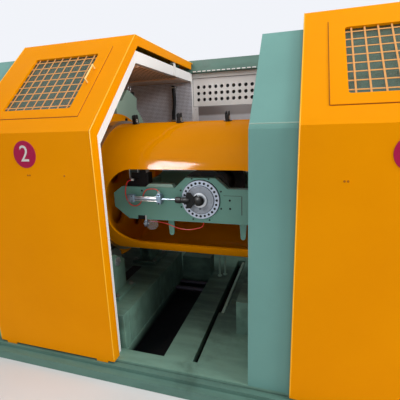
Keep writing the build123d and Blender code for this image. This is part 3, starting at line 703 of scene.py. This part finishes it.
# %% Mesh panels of the hoods
panel_low, panel_high = (-0.332, 0.115), (0.332, 0.754)
window_low, window_high = (-0.252, 0.184), (0.252, 0.688)
bar_pitch = 0.063
bar_half = 0.0045
bar_end = 0.002
joint_half = 0.0028
bar_count = round((window_high[0] - window_low[0]) / bar_pitch)
shifts = [(index - (bar_count - 1) / 2) * bar_pitch for index in range(bar_count)]
window_v = (window_low[1] + window_high[1]) / 2
bars = [(box, (window_low[0] - bar_end, window_v + v - bar_half, -0.0062),
         (window_high[0] + bar_end, window_v + v + bar_half, -0.0042)) for v in shifts]
bars += [(box, (u - bar_half, window_low[1] - bar_end, -0.0042),
          (u + bar_half, window_high[1] + bar_end, -0.0022)) for u in shifts]
plate = [(frame_plate, rounded(panel_low, panel_high, 0.003),
          rounded(window_low, window_high, 0.014), 0.0006, 0.005)]
joint = [(frame_plate, rounded(panel_low, panel_high, 0.004, joint_half),
          rounded(panel_low, panel_high, 0.003, -joint_half), 0.0001, 0.0016)]
pane = [(sheet, rounded(window_low, window_high, 0.014, 0.001), -0.0082, -0.0068)]
repeat(hood_x, "hood_{}", slope_at, [
    ("panel_plate", plate, "orange_hood", 0.0012), ("panel_joint", joint, "seam_red"),
    ("panel_mesh", bars, "orange_pale", 0.0006, 1), ("panel_pane", pane, "window_dusty")])
for k in bays:
    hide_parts(f"hood_panel_{k}")
print("mesh panels with", bar_count, "bars each way")

# %% [markdown]
# The pull handle beside the window: a thin round bar, bent at both ends so that its legs stand
# on the panel. A ring of points is swept along the line of the bar. At each bend the ring lies
# on the line that halves the corner, so the bar keeps its width.

# %% Pull handles
def sweep(mesh, x, path, radius, sides=10):
    """A round bar along a path of (y, z) corners in the plane at x."""
    rings = []
    spots = [Vector((x, y, z)) for y, z in path]
    for index, spot in enumerate(spots):
        before = (spot - spots[index - 1]).normalized() if index else None
        after = (spots[index + 1] - spot).normalized() if index + 1 < len(spots) else None
        along = ((before or after) + (after or before)).normalized()
        outward = along.cross(Vector(to_right)) / along.dot(after or before)
        rings.append([spot + Vector((u, 0, 0)) + outward * v for u, v in circle(sides, radius)])
    loft(mesh, rings)


handle_x, handle_low, handle_top = 0.287, 0.396, 0.527
path = [(handle_low, 0.001), (handle_low, 0.036), (handle_top, 0.036), (handle_top, 0.001)]
feet = [(rod, [(0.0105, 0.0), (0.0105, 0.002), (0.0085, 0.0032)], 20, (handle_x, y, 0.005))
        for y in (handle_low, handle_top)]
# The pull bar's cream is a painted gloss highlight; its feet keep the hood's orange.
repeat(hood_x, "hood_{}", slope_at, [
    ("pull_bar", [(sweep, handle_x, path, 0.0048)], "orange_cream"),
    ("pull_bar_feet", feet, "orange_hood")])

# %% [markdown]
# The folded edge of each hood shows a bright line of light, and it is painted as a highlight: a
# thin bead in a lighter orange runs along it, from the sill over the fold to the rear, swept along
# three straight lines like the pull handles.

# %% Hood edges
low, high = hood_box[2]
rise, half_hood = high.z - bend_z, (high.x - low.x) / 2 - 0.0022
bead_in = 0.002
path = [(front_y + bead_in, low.z + 0.03), (front_y + bead_in, bend_z),
        (front_y + rise, high.z - bead_in), (high.y - 2 * bead_in, high.z - bead_in)]
edges = [(sweep, x, path, 0.0034) for x in (-half_hood, half_hood)]
repeat(hood_x, "hood_{}", shift(0), [("hood_edge", edges, "orange_edge")])

# %% [markdown]
# Each hood has a round plate with the number of its bay, and five small bolt heads below it in a
# darker orange than the hood. A text object turned into a mesh gives a clean numeral, and the disc
# is a turned body with a rounded rim.

# %% Number plates
def numeral(mesh, text):
    words = bpy.data.curves.new("numeral", "FONT")
    words.body = text
    words.size = 0.135
    words.extrude = 0.0006
    words.align_x = "CENTER"
    words.align_y = "CENTER"
    writer = bpy.data.objects.new("numeral_source", words)
    scene.collection.objects.link(writer)
    bpy.context.view_layer.update()
    mesh.from_mesh(writer.to_mesh())
    writer.to_mesh_clear()
    bpy.data.objects.remove(writer)


plate_z, bolts_z = 1.424, 1.3
disc = [(rod, [(0.0795, 0), (0.08, 0.0015), (0.0785, 0.003)], 64)]
heads = [(bolt, 0.004, 0.003, (x, 0, 0)) for x in (-0.26, -0.245, 0, 0.015, 0.26)]
repeat(hood_x, "hood_{}", facing(0, front_y, plate_z), [("number_plate", disc, "plum_gloss")])
repeat(hood_x, "hood_{}", facing(0, front_y, bolts_z), [("hood_bolts", heads, "orange_deep")])
for k, x in hood_x.items():
    repeat({k: x}, "hood_{}", facing(0, front_y - 0.0034, plate_z), [
        ("numeral", [(numeral, str(k))], "fitting_white")])

# %% [markdown]
# What is fixed on the front arm of each cradle. On the real one a round pintle plate carries the
# bobbin. Around it runs a ring of eight cap screws, black plugs sit in its 24 holes, a duller disc
# lies in its middle, and a black knob with a pale collar closes its hub. Two thin black rings, one
# round the plate on the arm and one round the edge of its inner face, are painted shade where these
# edges meet. To its right an access plate is let into the arm, and a black block sits in the arm's
# notch. Everything is placed from the hub, so the cell works for every bay.

# %% Front arm of the cradles
hub_rise = 0.023
knob_z = hub_rise + 0.010
# Two thin black rings: painted shade round the edge of the plate and of its inner face.
edge_shade_rings = [
    (ring, [(0.1218, 0.0), (0.1218, 0.0026), (0.1256, 0.0026), (0.1262, 0.0)], 72),
    (ring, [(0.0885, 0.0121), (0.0885, 0.0132), (0.0912, 0.0132), (0.0912, 0.0121)], 72)]
screws = [(screw, 0.0052, 0.003, (x, y, 0)) for x, y in circle(8, 0.1415, 22.5)]
screws += [(screw, 0.006, 0.0016, (-0.001, -0.056, 0.017))]
screws += [(screw, 0.0065, 0.0016, (x, y, 0))
           for x, y in ((0.185, 0.0), (0.187, -0.052), (-0.403, 0.045))]
plugs = [(rod, [(0.008, 0), (0.008, 0.0018), (0.0072, 0.0022)], 16, (x, y, 0.0105))
         for x, y in circle(24, 0.106)]
disc = [(ring, [(0.0425, 0.0165), (0.0425, 0.0176), (0.0868, 0.0176), (0.0876, 0.0165)], 72)]
knob = [(rod, [(0.030, knob_z - 0.001), (0.032, knob_z + 0.004), (0.031, knob_z + 0.016),
               (0.024, knob_z + 0.026), (0.012, knob_z + 0.031), (0.004, knob_z + 0.032)], 40)]
collar = [(ring, [(0.0335, hub_rise), (0.0335, hub_rise + 0.004), (0.046, hub_rise + 0.003),
                  (0.0475, hub_rise)], 56)]
block = [(box, (-0.4455, -0.152, -0.015), (-0.401, -0.125, -0.0015))]
seams = [(box, (0.147, 0.028, 0), (0.257, 0.030, 0.0009)),
         (box, (0.257, -0.09, 0), (0.261, 0.028, 0.0009))]
repeat(bays, "cradle_{}", facing(bobbin_x, arm_y, axis_z), [
    ("pintle_gasket", edge_shade_rings, "black_satin"), ("arm_screws", screws, "black_satin"),
    ("pintle_plugs", plugs, "black_satin"), ("pintle_disc", disc, "disc_grey"),
    ("notch_block", block, "black_moulded", 0.0015), ("clamp_knob", knob, "black_moulded"),
    ("hub_collar", collar, "steel_bright"), ("access_joint", seams, "seam_dark")])

# %% [markdown]
# The clamp and its air cylinder. The flat fork of the frame gets what a real one has: a fat
# clevis where the rod enters, and a web that widens to three prongs over the pintle. The
# cylinder gets end caps, two tie rods on the side that shows and black screws in its blue-grey
# head.

# %% Clamp and cylinder dress
clevis = [(rod, [(0.014, 0), (0.0195, 0.004), (0.0215, 0.016), (0.0205, 0.038), (0.0165, 0.042),
                 (0.0160, 0.050), (0.0185, 0.054), (0.0180, 0.076), (0.013, 0.092)], 32,
           (bobbin_x - 0.156, -0.006, 0), to_right)]
half_web = [(-0.110, -0.018), (-0.088, -0.020), (-0.079, -0.052), (-0.052, -0.049),
            (-0.040, -0.030), (-0.024, -0.024)]
web = [(sheet, half_web + [(x, -y) for x, y in half_web[::-1]], 0.0, 0.007)]
caps = [(box, (x, -0.018, -0.024), (x + 0.032, 0.016, 0.024)) for x in (-0.3865, -0.200)]
caps += [(box, (-0.196, -0.014, -0.033), (-0.170, 0.02, 0.035))]
rods = [(rod, [(0.0022, 0), (0.0022, 0.19)], 10, (-0.376, -0.013, z), to_right)
        for z in (-0.013, 0.013)]
pins = [(screw, 0.0062, 0.003, (-0.183, -0.014, z), to_front) for z in (-0.026, 0.027)]
pins += [(screw, 0.0035, 0.002, (-0.3705, -0.018, z), to_front) for z in (-0.016, 0.016)]
repeat(bays, "cradle_{}", shift(0, arm_y - 0.030, axis_z), [
    ("clamp_clevis", clevis, "black_moulded"), ("cylinder_caps", caps, "cap_blue", 0.0025),
    ("cylinder_rods", rods, "zinc_bolt"), ("cylinder_screws", pins, "black_satin")])
repeat(bays, "cradle_{}", facing(bobbin_x, arm_y - knob_z, axis_z), [
    ("clamp_web", web, "black_satin", 0.002)])

# %% [markdown]
# The valve group stands on the arm at the left end of the slot. It has a moulded block in the
# frame; here it gets two coils, three pale posts, a back plate, and push-in fittings with a
# collar where the red hoses enter. A pale strip lies on the arm between valve and pintle.

# %% Valve group and arm top
arm_top = axis_z + 0.070
coils = [(box, (x, -0.346, 0.055), (x + 0.052, -0.302, 0.112)) for x in (-0.412, -0.352)]
posts = [(box, (x, -0.350, 0.048), (x + 0.005, -0.300, 0.128)) for x in (-0.4165, -0.3545, -0.296)]
back = [(sheet, [(-0.288, 0.0), (-0.288, 0.118), (-0.330, 0.118), (-0.330, 0.062),
                 (-0.43, 0.044), (-0.43, 0.0)], 0.0, 0.006)]
fitting = [(0.0085, 0), (0.0085, 0.010), (0.0062, 0.012), (0.0062, 0.016), (0.0072, 0.018),
           (0.0072, 0.022)]
ports = [(rod, fitting, 24, (-0.362, -0.383, 0.048), (-1, 0, 0)),
         (rod, fitting, 24, (-0.187, -0.400, -0.040)),
         (rod, fitting, 24, (-0.330, -0.350, -0.190), (0, 0, -1))]
ledge = [(sheet, [(-0.290, 0.0), (-0.264, 0.022), (-0.106, 0.022), (-0.094, 0.0)], -0.035, 0.012)]
repeat(bays, "cradle_{}", shift(0, 0, arm_top), [
    ("valve_coils", coils, "coil_grey", 0.003), ("valve_posts", posts, "fitting_white", 0.001),
    ("hose_fittings", ports, "fitting_white")])
repeat(bays, "cradle_{}", facing(0, -0.356, arm_top), [
    ("valve_plate", back, "black_satin", 0.0012)])
repeat(bays, "cradle_{}", facing(0, arm_y + 0.014, arm_top), [
    ("arm_ledge", ledge, "green_pale", 0.0015, 2, "light_green_paint")])

# %% [markdown]
# A grooved pulley hangs under the notch of the arm and leads the wire; a clear disc guards it.
# Its groove is part of the turned profile. The hub pin and the fork are one piece beside the
# wheel, so that each can have its own metal.

# %% Pulley under the notch
pulley_axis = (1, 0.35, 0)
wheel = [(rod, [(0.006, -0.012), (0.022, -0.012), (0.024, -0.010), (0.017, -0.002),
                (0.017, 0.002), (0.024, 0.010), (0.022, 0.012), (0.006, 0.012)], 36,
          (0, 0, 0), pulley_axis)]
fork = [(box, (-0.004, -0.004, 0.008), (0.006, 0.006, 0.058)),
        (rod, [(0.005, -0.018), (0.006, -0.017), (0.006, 0.017), (0.005, 0.018)], 16,
         (0, 0, 0), pulley_axis)]
guard = [(rod, [(0.043, 0), (0.044, 0.001), (0.044, 0.003), (0.043, 0.004)], 40,
          (0.036, 0.012, -0.002), (0.2, -1, 0))]
repeat(bays, "cradle_{}", shift(-0.304, -0.372, axis_z - 0.181), [
    ("lead_pulley", wheel, "cylinder_grey"), ("pulley_fork", fork, "steel_plate", 0.001),
    ("pulley_guard", guard, "guard_clear")])

# %% [markdown]
# The rear wall of each bay. Behind the round vent holes lies a black filter mat, thin dark
# joints show where the vent panel meets its neighbours, and the sheet below it is framed by
# white stiles. Under the green beam a row of small white tabs holds the wall's upper edge, and
# a bent white plate holds the roof roller at the bay's left end.
# All of it is thin, so it stands a few millimetres proud of the panels in the frame.

# %% Rear wall of the bays
# The rear panel of a bay reaches half to both sides of its middle, and its face lies at wall_y.
wall_y = 1.140
vent_top = 2.000
half = 0.4325
mat = [(box, (-half + 0.006, 0.0215, vent_low + 0.004), (half - 0.006, 0.030, vent_top - 0.004))]
joints = [(box, (-half, -0.0008, z - 0.002), (half, 0, z + 0.002))
          for z in (vent_low, vent_top + 0.016)]
joints += [(box, (x, -0.0008, vent_low), (x + 0.004, 0, vent_top + 0.016))
           for x in (-half + 0.002, half - 0.006)]
# The band above the vent is a brighter white plate: painted light over the shadow of the ledge.
band = [(box, (-half + 0.012, -0.006, vent_top + 0.020), (half - 0.012, 0, 2.064))]
low_sheet = [(box, (-half + 0.055, -0.0015, 1.20), (half - 0.055, 0, vent_low - 0.004))]
stiles = [(box, (x, -0.014, 0.36), (x + 0.053, 0, vent_low - 0.004))
          for x in (-half + 0.002, half - 0.055)]
stiles += [(box, (-half + 0.055, -0.014, z), (half - 0.055, 0, z + 0.05)) for z in (0.36, 1.15)]
tabs = [(box, (x, -0.0735, 2.0705), (x + 0.034, -0.070, 2.0795))
        for x in [-half + 0.03 + 0.05 * step for step in range(17)]]
hanger = [(box, (-half, -0.538, 1.99), (-half + 0.006, -0.494, 2.096)),
          (box, (-half - 0.03, -0.538, 2.088), (-half + 0.006, -0.494, 2.094))]
post = [(box, (-half - 0.004, -0.054, 1.965), (-half + 0.010, -0.040, 2.062))]
rivets = [(bolt, 0.005, 0.003, (x, -0.014, z), to_front)
          for z in (vent_low - 0.03, 1.45, 1.24, 0.9, 0.5) for x in (-half + 0.028, half - 0.028)]
repeat(bays, "housing", shift(0, wall_y), [
    ("vent_mat", mat, "mat_black"), ("wall_joints", joints, "seam_dark"),
    ("wall_band", band, "white_bright", 0.0015), ("wall_sheet", low_sheet, "sheet_sooty"),
    ("wall_stiles", stiles, "white_satin", 0.002),
    ("ledge_tabs", tabs, "white_bright", 0.0006, 1),
    ("roller_hanger", hanger, "white_bright", 0.001),
    ("corner_post", post, "white_bright", 0.001), ("wall_screws", rivets, "zinc_bolt")])

# %% [markdown]
# The ceiling of a fixed section is slatted: strips run from front to rear over a dark board, and a
# plain strip closes the field towards the rear wall. The lining there is white: the brown of the
# strips and the tan of the plain strip are painted orange light, and the dark board is painted
# shade between the strips. In the section at the left of each bay a ribbed black conduit comes down
# the rear lining, held by three clips. It doesn't move, so it is a rigid loft with its ribs in the
# radius of its rings. Where the front folds back a white lip stiffens both ends of a section from
# inside.

# %% Ceilings and conduits of the sections
ceiling = 1.986
board = [(box, (-0.53, -0.02, -0.002), (0.53, 0.72, 0))]
slats = [(box, (x, -0.02, -0.005), (x + 0.016, 0.72, -0.002))
         for x in [-0.522 + 0.0335 * step for step in range(32)]]
slats += [(box, (-0.54, y, -0.014), (0.54, y + 0.016, 0)) for y in (-0.03, 0.72)]
strip = [(box, (-0.55, 0.745, -0.006), (0.55, 1.09, 0))]
repeat(sections, "housing", shift(0, 0, ceiling), [
    ("ceiling_board", board, "board_brown"), ("ceiling_slats", slats, "slat_brown", 0.001, 1),
    ("ceiling_strip", strip, "strip_tan", 0.001)])

edge_on = Matrix(((0, 0, 1), (1, 0, 0), (0, 1, 0))).to_4x4()
lip_outline = [(-0.622, 1.4735), (-0.1095, 1.986), (-0.166, 1.986), (-0.622, 1.530)]
lips = [(sheet, lip_outline, x, x + 0.005) for x in (-0.4365, 0.4315)]
ribs, drop = 120, 0.72
conduit = []
for step in range(ribs + 1):
    bow = 0.008 * sin(step / ribs * 3 * pi)
    radius = 0.0192 if step % 2 else 0.0172
    conduit.append([(bow + x, y, -drop * step / ribs) for x, y in circle(14, radius)])
clips = [(box, (-0.662, 1.0605, z), (-0.598, 1.0995, z + 0.012)) for z in (1.93, 1.60, 1.27)]
repeat(bays, "housing", edge_on, [("slope_lips", lips, "white_bright", 0, 2, "white_lining")])
repeat(bays, "housing", shift(-0.63, 1.080, 1.955), [
    ("conduit", [(loft, conduit)], "black_moulded")])
repeat(bays, "housing", shift(0), [("conduit_clips", clips, "zinc_bolt", 0.001)])

# %% [markdown]
# Feet of the roller stands. Under every pair of cheeks lies a thick pad with four bolts, and the
# roller pins end in a keeper plate with two screws. The pads follow the places of the two
# rings of each bay, front and rear, in two nested loops.

# %% Roller stands
ring_offset = 0.643
roller_y = 0.318
roller_z = axis_z - 0.508
plinth_top = 0.350
pad_top = plinth_top + 0.024
stands = [(end * ring_offset, side * roller_y) for end in (-1, 1) for side in (-1, 1)]
pads = [(box, (x - 0.115, y - 0.125, plinth_top), (x + 0.115, y + 0.125, pad_top))
        for x, y in stands]
bolts = [(bolt, 0.015, 0.018, (x + dx, y + dy, pad_top))
         for x, y in stands for dx in (-0.09, 0.09) for dy in (-0.1, 0.1)]
keepers = [(rod, [(0.034, 0), (0.034, 0.005), (0.031, 0.007)], 28,
            (x + face * 0.0525, y, roller_z), (face, 0, 0)) for x, y in stands for face in (-1, 1)]
keepers += [(screw, 0.005, 0.004, (x + face * 0.0595, y + dy, roller_z), (face, 0, 0))
            for x, y in stands for face in (-1, 1) for dy in (-0.02, 0.02)]
repeat(bays, "housing", shift(0), [
    ("roller_pads", pads, "green_base", 0.004), ("roller_bolts", bolts, "zinc_oily", 0.0006, 1),
    ("pin_keepers", keepers, "steel_plate")])

# %% [markdown]
# Things in the base of each bay: two round bars cross the rear of the pit, a second beam lies in
# the rear of the narrow gap and a plate covers its front, two thin posts stand on the middle
# beam, and edge strips line the pit. The plinth's front part runs on to the sill. They are
# small pieces, but they fill the view under the tube.

# %% Base of the bays
bars = [(rod, [(r - 0.002, 0), (r, 0.002), (r, 0.276), (r - 0.002, 0.278)], 28,
         (-0.404, y, z), to_right) for y, z, r in ((0.34, 0.070, 0.020), (0.46, 0.074, 0.016))]
edges = [(box, (x, -0.596, 0.086), (x + 0.006, 0.536, 0.1)) for x in (-0.405, -0.131)]
edges += [(box, (0.098, -0.598, 0.090), (0.1455, -0.02, 0.0995))]
beam = [(box, (0.112, -0.018, 0.03), (0.136, 0.985, 0.092))]
posts = [(rod, [(0.02, 0), (0.02, 0.008), (0.009, 0.010), (0.009, top - 0.1),
                (0.007, top - 0.098)], 20, (x, y, 0.1))
         for x, y, top in ((-0.045, 0.60, 0.42), (0.0, 0.64, 0.36))]
# A black sheet lying flush on the plinth's top is painted shade: the dark inside of a small pit
# there.
slot = [(sheet, rounded((-0.72, -0.30), (-0.635, 0.127), 0.012), 0.3495, 0.3507)]
front = [(box, (-1.49, -0.596, 0.1), (-0.405, -0.521, plinth_top))]
repeat(bays, "housing", shift(0), [
    ("pit_bars", bars, "bar_blued"), ("pit_edges", edges, "green_base", 0.001),
    ("gap_beam", beam, "green_pale", 0.003), ("base_posts", posts, "green_pale"),
    ("plinth_slot", slot, "mat_black"), ("plinth_front", front, "green_base", 0.003)])

# %% [markdown]
# The rotor. Twelve bolts on each face hold a flange to its ring, the eyes of the wire guides
# have pale ceramic rings so that the wire can't cut them, and each guide stands on two small
# feet with a screw, between two taller black cheeks. The rings are turned profiles, the cheeks
# are plates with a round hole, and the guides' places come from the same numbers as in the
# frame: four in a row, 340 mm apart.

# %% Rotor dress
rotor_tilt = radians(9.6)
flange_bolts = [(bolt, 0.0115, 0.011, (end * (0.700 + face * 0.020), y, z), (end * face, 0, 0))
                for end in (-1, 1) for y, z in circle(12, 0.529, 15) for face in (-1, 1)]
eye_front = [(0.0062, 0.0), (0.0086, 0.0), (0.0086, 0.0005), (0.0122, 0.0015),
             (0.0122, -0.0015), (0.0086, -0.0015), (0.0062, -0.001)]
eye_rear = [(0.0062, 0.0), (0.0086, 0.0), (0.0122, 0.0), (0.0122, 0.003), (0.0062, 0.002)]
cheek_outer = rounded((-0.027, 0.0), (0.027, 0.064), 0.012, 0.0, 5)
cheek_hole = rounded((-0.0118, 0.0112), (0.0118, 0.0348), 0.0118, 0.0, 5)
eyes, feet, screws, cheeks = [], [], [], []
for row in (-1, 1):
    outward = Vector((0, -row * sin(rotor_tilt), row * cos(rotor_tilt)))
    across = Vector(to_right).cross(outward)
    upright = Matrix((across, outward, to_right)).transposed().to_4x4()
    for step in range(4):
        foot = Vector((-0.480 + 0.340 * step, 0, 0)) + outward * (tube_r + 0.0001)
        middle = foot + outward * 0.023
        eyes.append((ring, eye_front, 24, middle - Vector((0.0115, 0, 0)), to_right))
        eyes.append((ring, eye_rear, 24, middle + Vector((0.0100, 0, 0)), to_right))
        for face in (-0.0115, 0.0071):
            cheeks.append((placed, shift(*foot) @ upright, frame_plate, cheek_outer, cheek_hole,
                           face, face + 0.0044))
        for edge in (-0.017, 0.017):
            spot = foot + Vector((edge, 0, 0)) - outward * 0.0005
            screws.append((screw, 0.0045, 0.004, spot + outward * 0.0045, outward))
            feet.append((rod, [(0.011, -0.0015), (0.011, 0.004), (0.010, 0.005)], 20, spot,
                         outward))
repeat(bays, "rotor", shift(0, 0, axis_z), [
    ("flange_bolts", flange_bolts, "black_satin"), ("guide_eyes", eyes, "ceramic_pale"),
    ("guide_feet", feet, "black_moulded"), ("guide_cheeks", cheeks, "black_moulded", 0.001, 1),
    ("guide_screws", screws, "zinc_bolt")])

# %% [markdown]
# On the boss of each brake bracket sits a dark block with a lifting ring. The ring is a turned
# body, so it is a true torus-like loop, and its shank stands in the block.

# %% Bracket blocks
block = [(box, (-0.019, -0.05, 0.700), (0.019, 0.05, 0.742))]
loop = [(0.020 + away, along) for away, along in circle(10, 0.005)]
lifting = [(ring, loop, 32, (0, 0, 0.772), to_right),
           (rod, [(0.009, 0), (0.009, 0.004), (0.005, 0.006), (0.005, 0.012)], 16,
            (0, 0, 0.742))]
bolts = [(bolt, 0.011, 0.006, (0.020, y, z), to_right)
         for y, z in ((0.27, -0.1), (0.25, 0.1), (0.18, 0.33), (0.07, 0.50))]
repeat(bays, "housing", shift(-0.745, 0.35, axis_z), [
    ("bracket_block", block, "black_satin", 0.003), ("lifting_ring", lifting, "steel_plate"),
    ("bracket_bolts", bolts, "zinc_bolt")])

# %% [markdown]
# The outside of the fixed sections. A bead of weld crosses each section where the front folds
# back, small screws hold the skin to the base, and the end walls have their bearing bolts,
# grease nipples and rows of wall screws. These sides aren't in the photograph, so they get
# only what every such machine has there.

# %% Outside of the housing
skin_front, skin_rear = front_y + 0.030, 1.180
wall_x, bearing_x, journal_x = 3.5675, 3.5975, 3.6505
bead_sunk = 0.0012
bead = [(rod, [(0.0012, 0), (0.0030, 0.004), (0.0030, 1.127), (0.0012, 1.131)], 12,
         (-0.5655, skin_front + bead_sunk, 1.5604), to_right)]
screws = [(screw, 0.007, 0.003, (-0.5 + 0.2 * step, skin_rear, z), to_rear)
          for step in range(6) for z in (0.14, 2.0)]
repeat(sections, "housing", shift(0), [
    ("fold_bead", bead, "green_pale"), ("skin_screws", screws, "zinc_bolt")])
screws = [(screw, 0.007, 0.003, (x, skin_rear, z), to_rear)
          for x in (-0.39, 0.0, 0.39) for z in (0.2, 0.7, 1.2, 1.7, 2.03)]
repeat(bays, "housing", shift(0), [("rear_screws", screws, "zinc_bolt")])
nipple = [(0.008, 0), (0.008, 0.008), (0.004, 0.010), (0.004, 0.018), (0.006, 0.020),
          (0.005, 0.027), (0.002, 0.029)]
rim = [(0.072, 0), (0.116, 0), (0.118, 0.002), (0.118, 0.006), (0.074, 0.006)]
for label, side in (("left", -1), ("right", 1)):
    out = (side, 0, 0)
    bolts = [(bolt, 0.012, 0.014, (0, y, z), out) for y, z in circle(8, 0.182, 22.5)]
    nipples = [(rod, nipple, 18, (0, 0, 0.152), (side, 0, 0.4))]
    heads = [(bolt, 0.009, 0.008, (side * wall_x, y, z), out)
             for y in (-0.5, 0.0, 0.5, 1.0) for z in (0.2, 0.65, 1.5)]
    repeat({label: side * bearing_x}, "housing", shift(0, 0, axis_z), [
        ("bearing_bolts", bolts, "zinc_bolt"), ("grease_nipple", nipples, "zinc_bolt")])
    repeat({label: 0}, "housing", shift(0), [("end_wall_bolts", heads, "zinc_bolt")])
    repeat({label: side * journal_x}, "rotor", shift(0, 0, axis_z), [
        ("journal_rim", [(ring, rim, 64, (0, 0, 0), out)], "steel_bright")])

# %% [markdown]
# The floor, the backdrop and the light. A wide pale floor takes the shadow. The world is white
# to the camera, and to mirrors too, so that gloss and metal show the same pale room, while its
# light on the object stays at a plain level. Large area lamps give soft light from above, from
# the front and from the right. The small one makes the bright patch on the tube: it shows in
# gloss only, so it casts no hard shadow.

# %% Floor, world and lamps
floor_mesh = bmesh.new()
bmesh.ops.create_grid(floor_mesh, x_segments=1, y_segments=1, size=30)
floor_data = bpy.data.meshes.new("floor")
floor_mesh.to_mesh(floor_data)
floor_mesh.free()
floor_shade = Shade("floor_pale")
floor_tone = floor_shade.noise(0.8, 4.0).ramp(0.3, 0.7, 0.74, 0.78)
floor_shade.set(Base_Color=floor_shade.node("ShaderNodeCombineColor", None,
                {0: floor_tone, 1: floor_tone, 2: floor_tone}), Roughness=0.6)
floor_data.materials.append(floor_shade.material)
floor = bpy.data.objects.new("floor", floor_data)
floor.location.z = -0.001
scene.collection.objects.link(floor)

world = bpy.data.worlds.new("room")
scene.world = world
world.use_nodes = True
tree = world.node_tree
tree.nodes.clear()
sky = tree.nodes.new("ShaderNodeBackground")
sky.inputs["Color"].default_value = (0.93, 0.95, 1.0, 1)
paths = tree.nodes.new("ShaderNodeLightPath")
seen = tree.nodes.new("ShaderNodeMath")
seen.operation = "MAXIMUM"
tree.links.new(paths.outputs["Is Camera Ray"], seen.inputs[0])
tree.links.new(paths.outputs["Is Glossy Ray"], seen.inputs[1])
level = tree.nodes.new("ShaderNodeMapRange")
level.inputs["To Min"].default_value = 0.36
level.inputs["To Max"].default_value = 0.95
tree.links.new(seen.outputs[0], level.inputs["Value"])
tree.links.new(level.outputs[0], sky.inputs["Strength"])
ending = tree.nodes.new("ShaderNodeOutputWorld")
tree.links.new(sky.outputs[0], ending.inputs[0])


def lamp(name, spot, target, size, power, colour=(1, 1, 1)):
    data = bpy.data.lights.new(name, "AREA")
    data.shape = "RECTANGLE"
    data.size, data.size_y = size
    data.energy = power
    data.color = colour
    thing = bpy.data.objects.new(name, data)
    thing.location = spot
    thing.rotation_euler = (Vector(target) - Vector(spot)).to_track_quat("-Z", "Y").to_euler()
    scene.collection.objects.link(thing)
    return thing


lamp("top_light", (0.5, -2.2, 6.0), (0, 0, 1.0), (9.0, 3.0), 72, (1.0, 0.99, 0.97))
sky_light = lamp("sky_light", (0.2, -0.4, 4.8), (0, 0.5, 1.0), (5.0, 1.6), 42)
sky_light.visible_glossy = False
lamp("front_light", (-1.0, -6.0, 3.6), (0, 0, 1.1), (7.0, 3.0), 44)
lamp("side_light", (6.8, -2.0, 3.8), (-0.4, -0.5, 1.4), (3.0, 3.0), 350)
patch_light = lamp("patch_light", (-1.60, -2.98, 3.92), (-0.1, -0.44, 1.32), (0.75, 1.0), 380)
patch_light.visible_diffuse = False
print("lamps", len(bpy.data.lights))
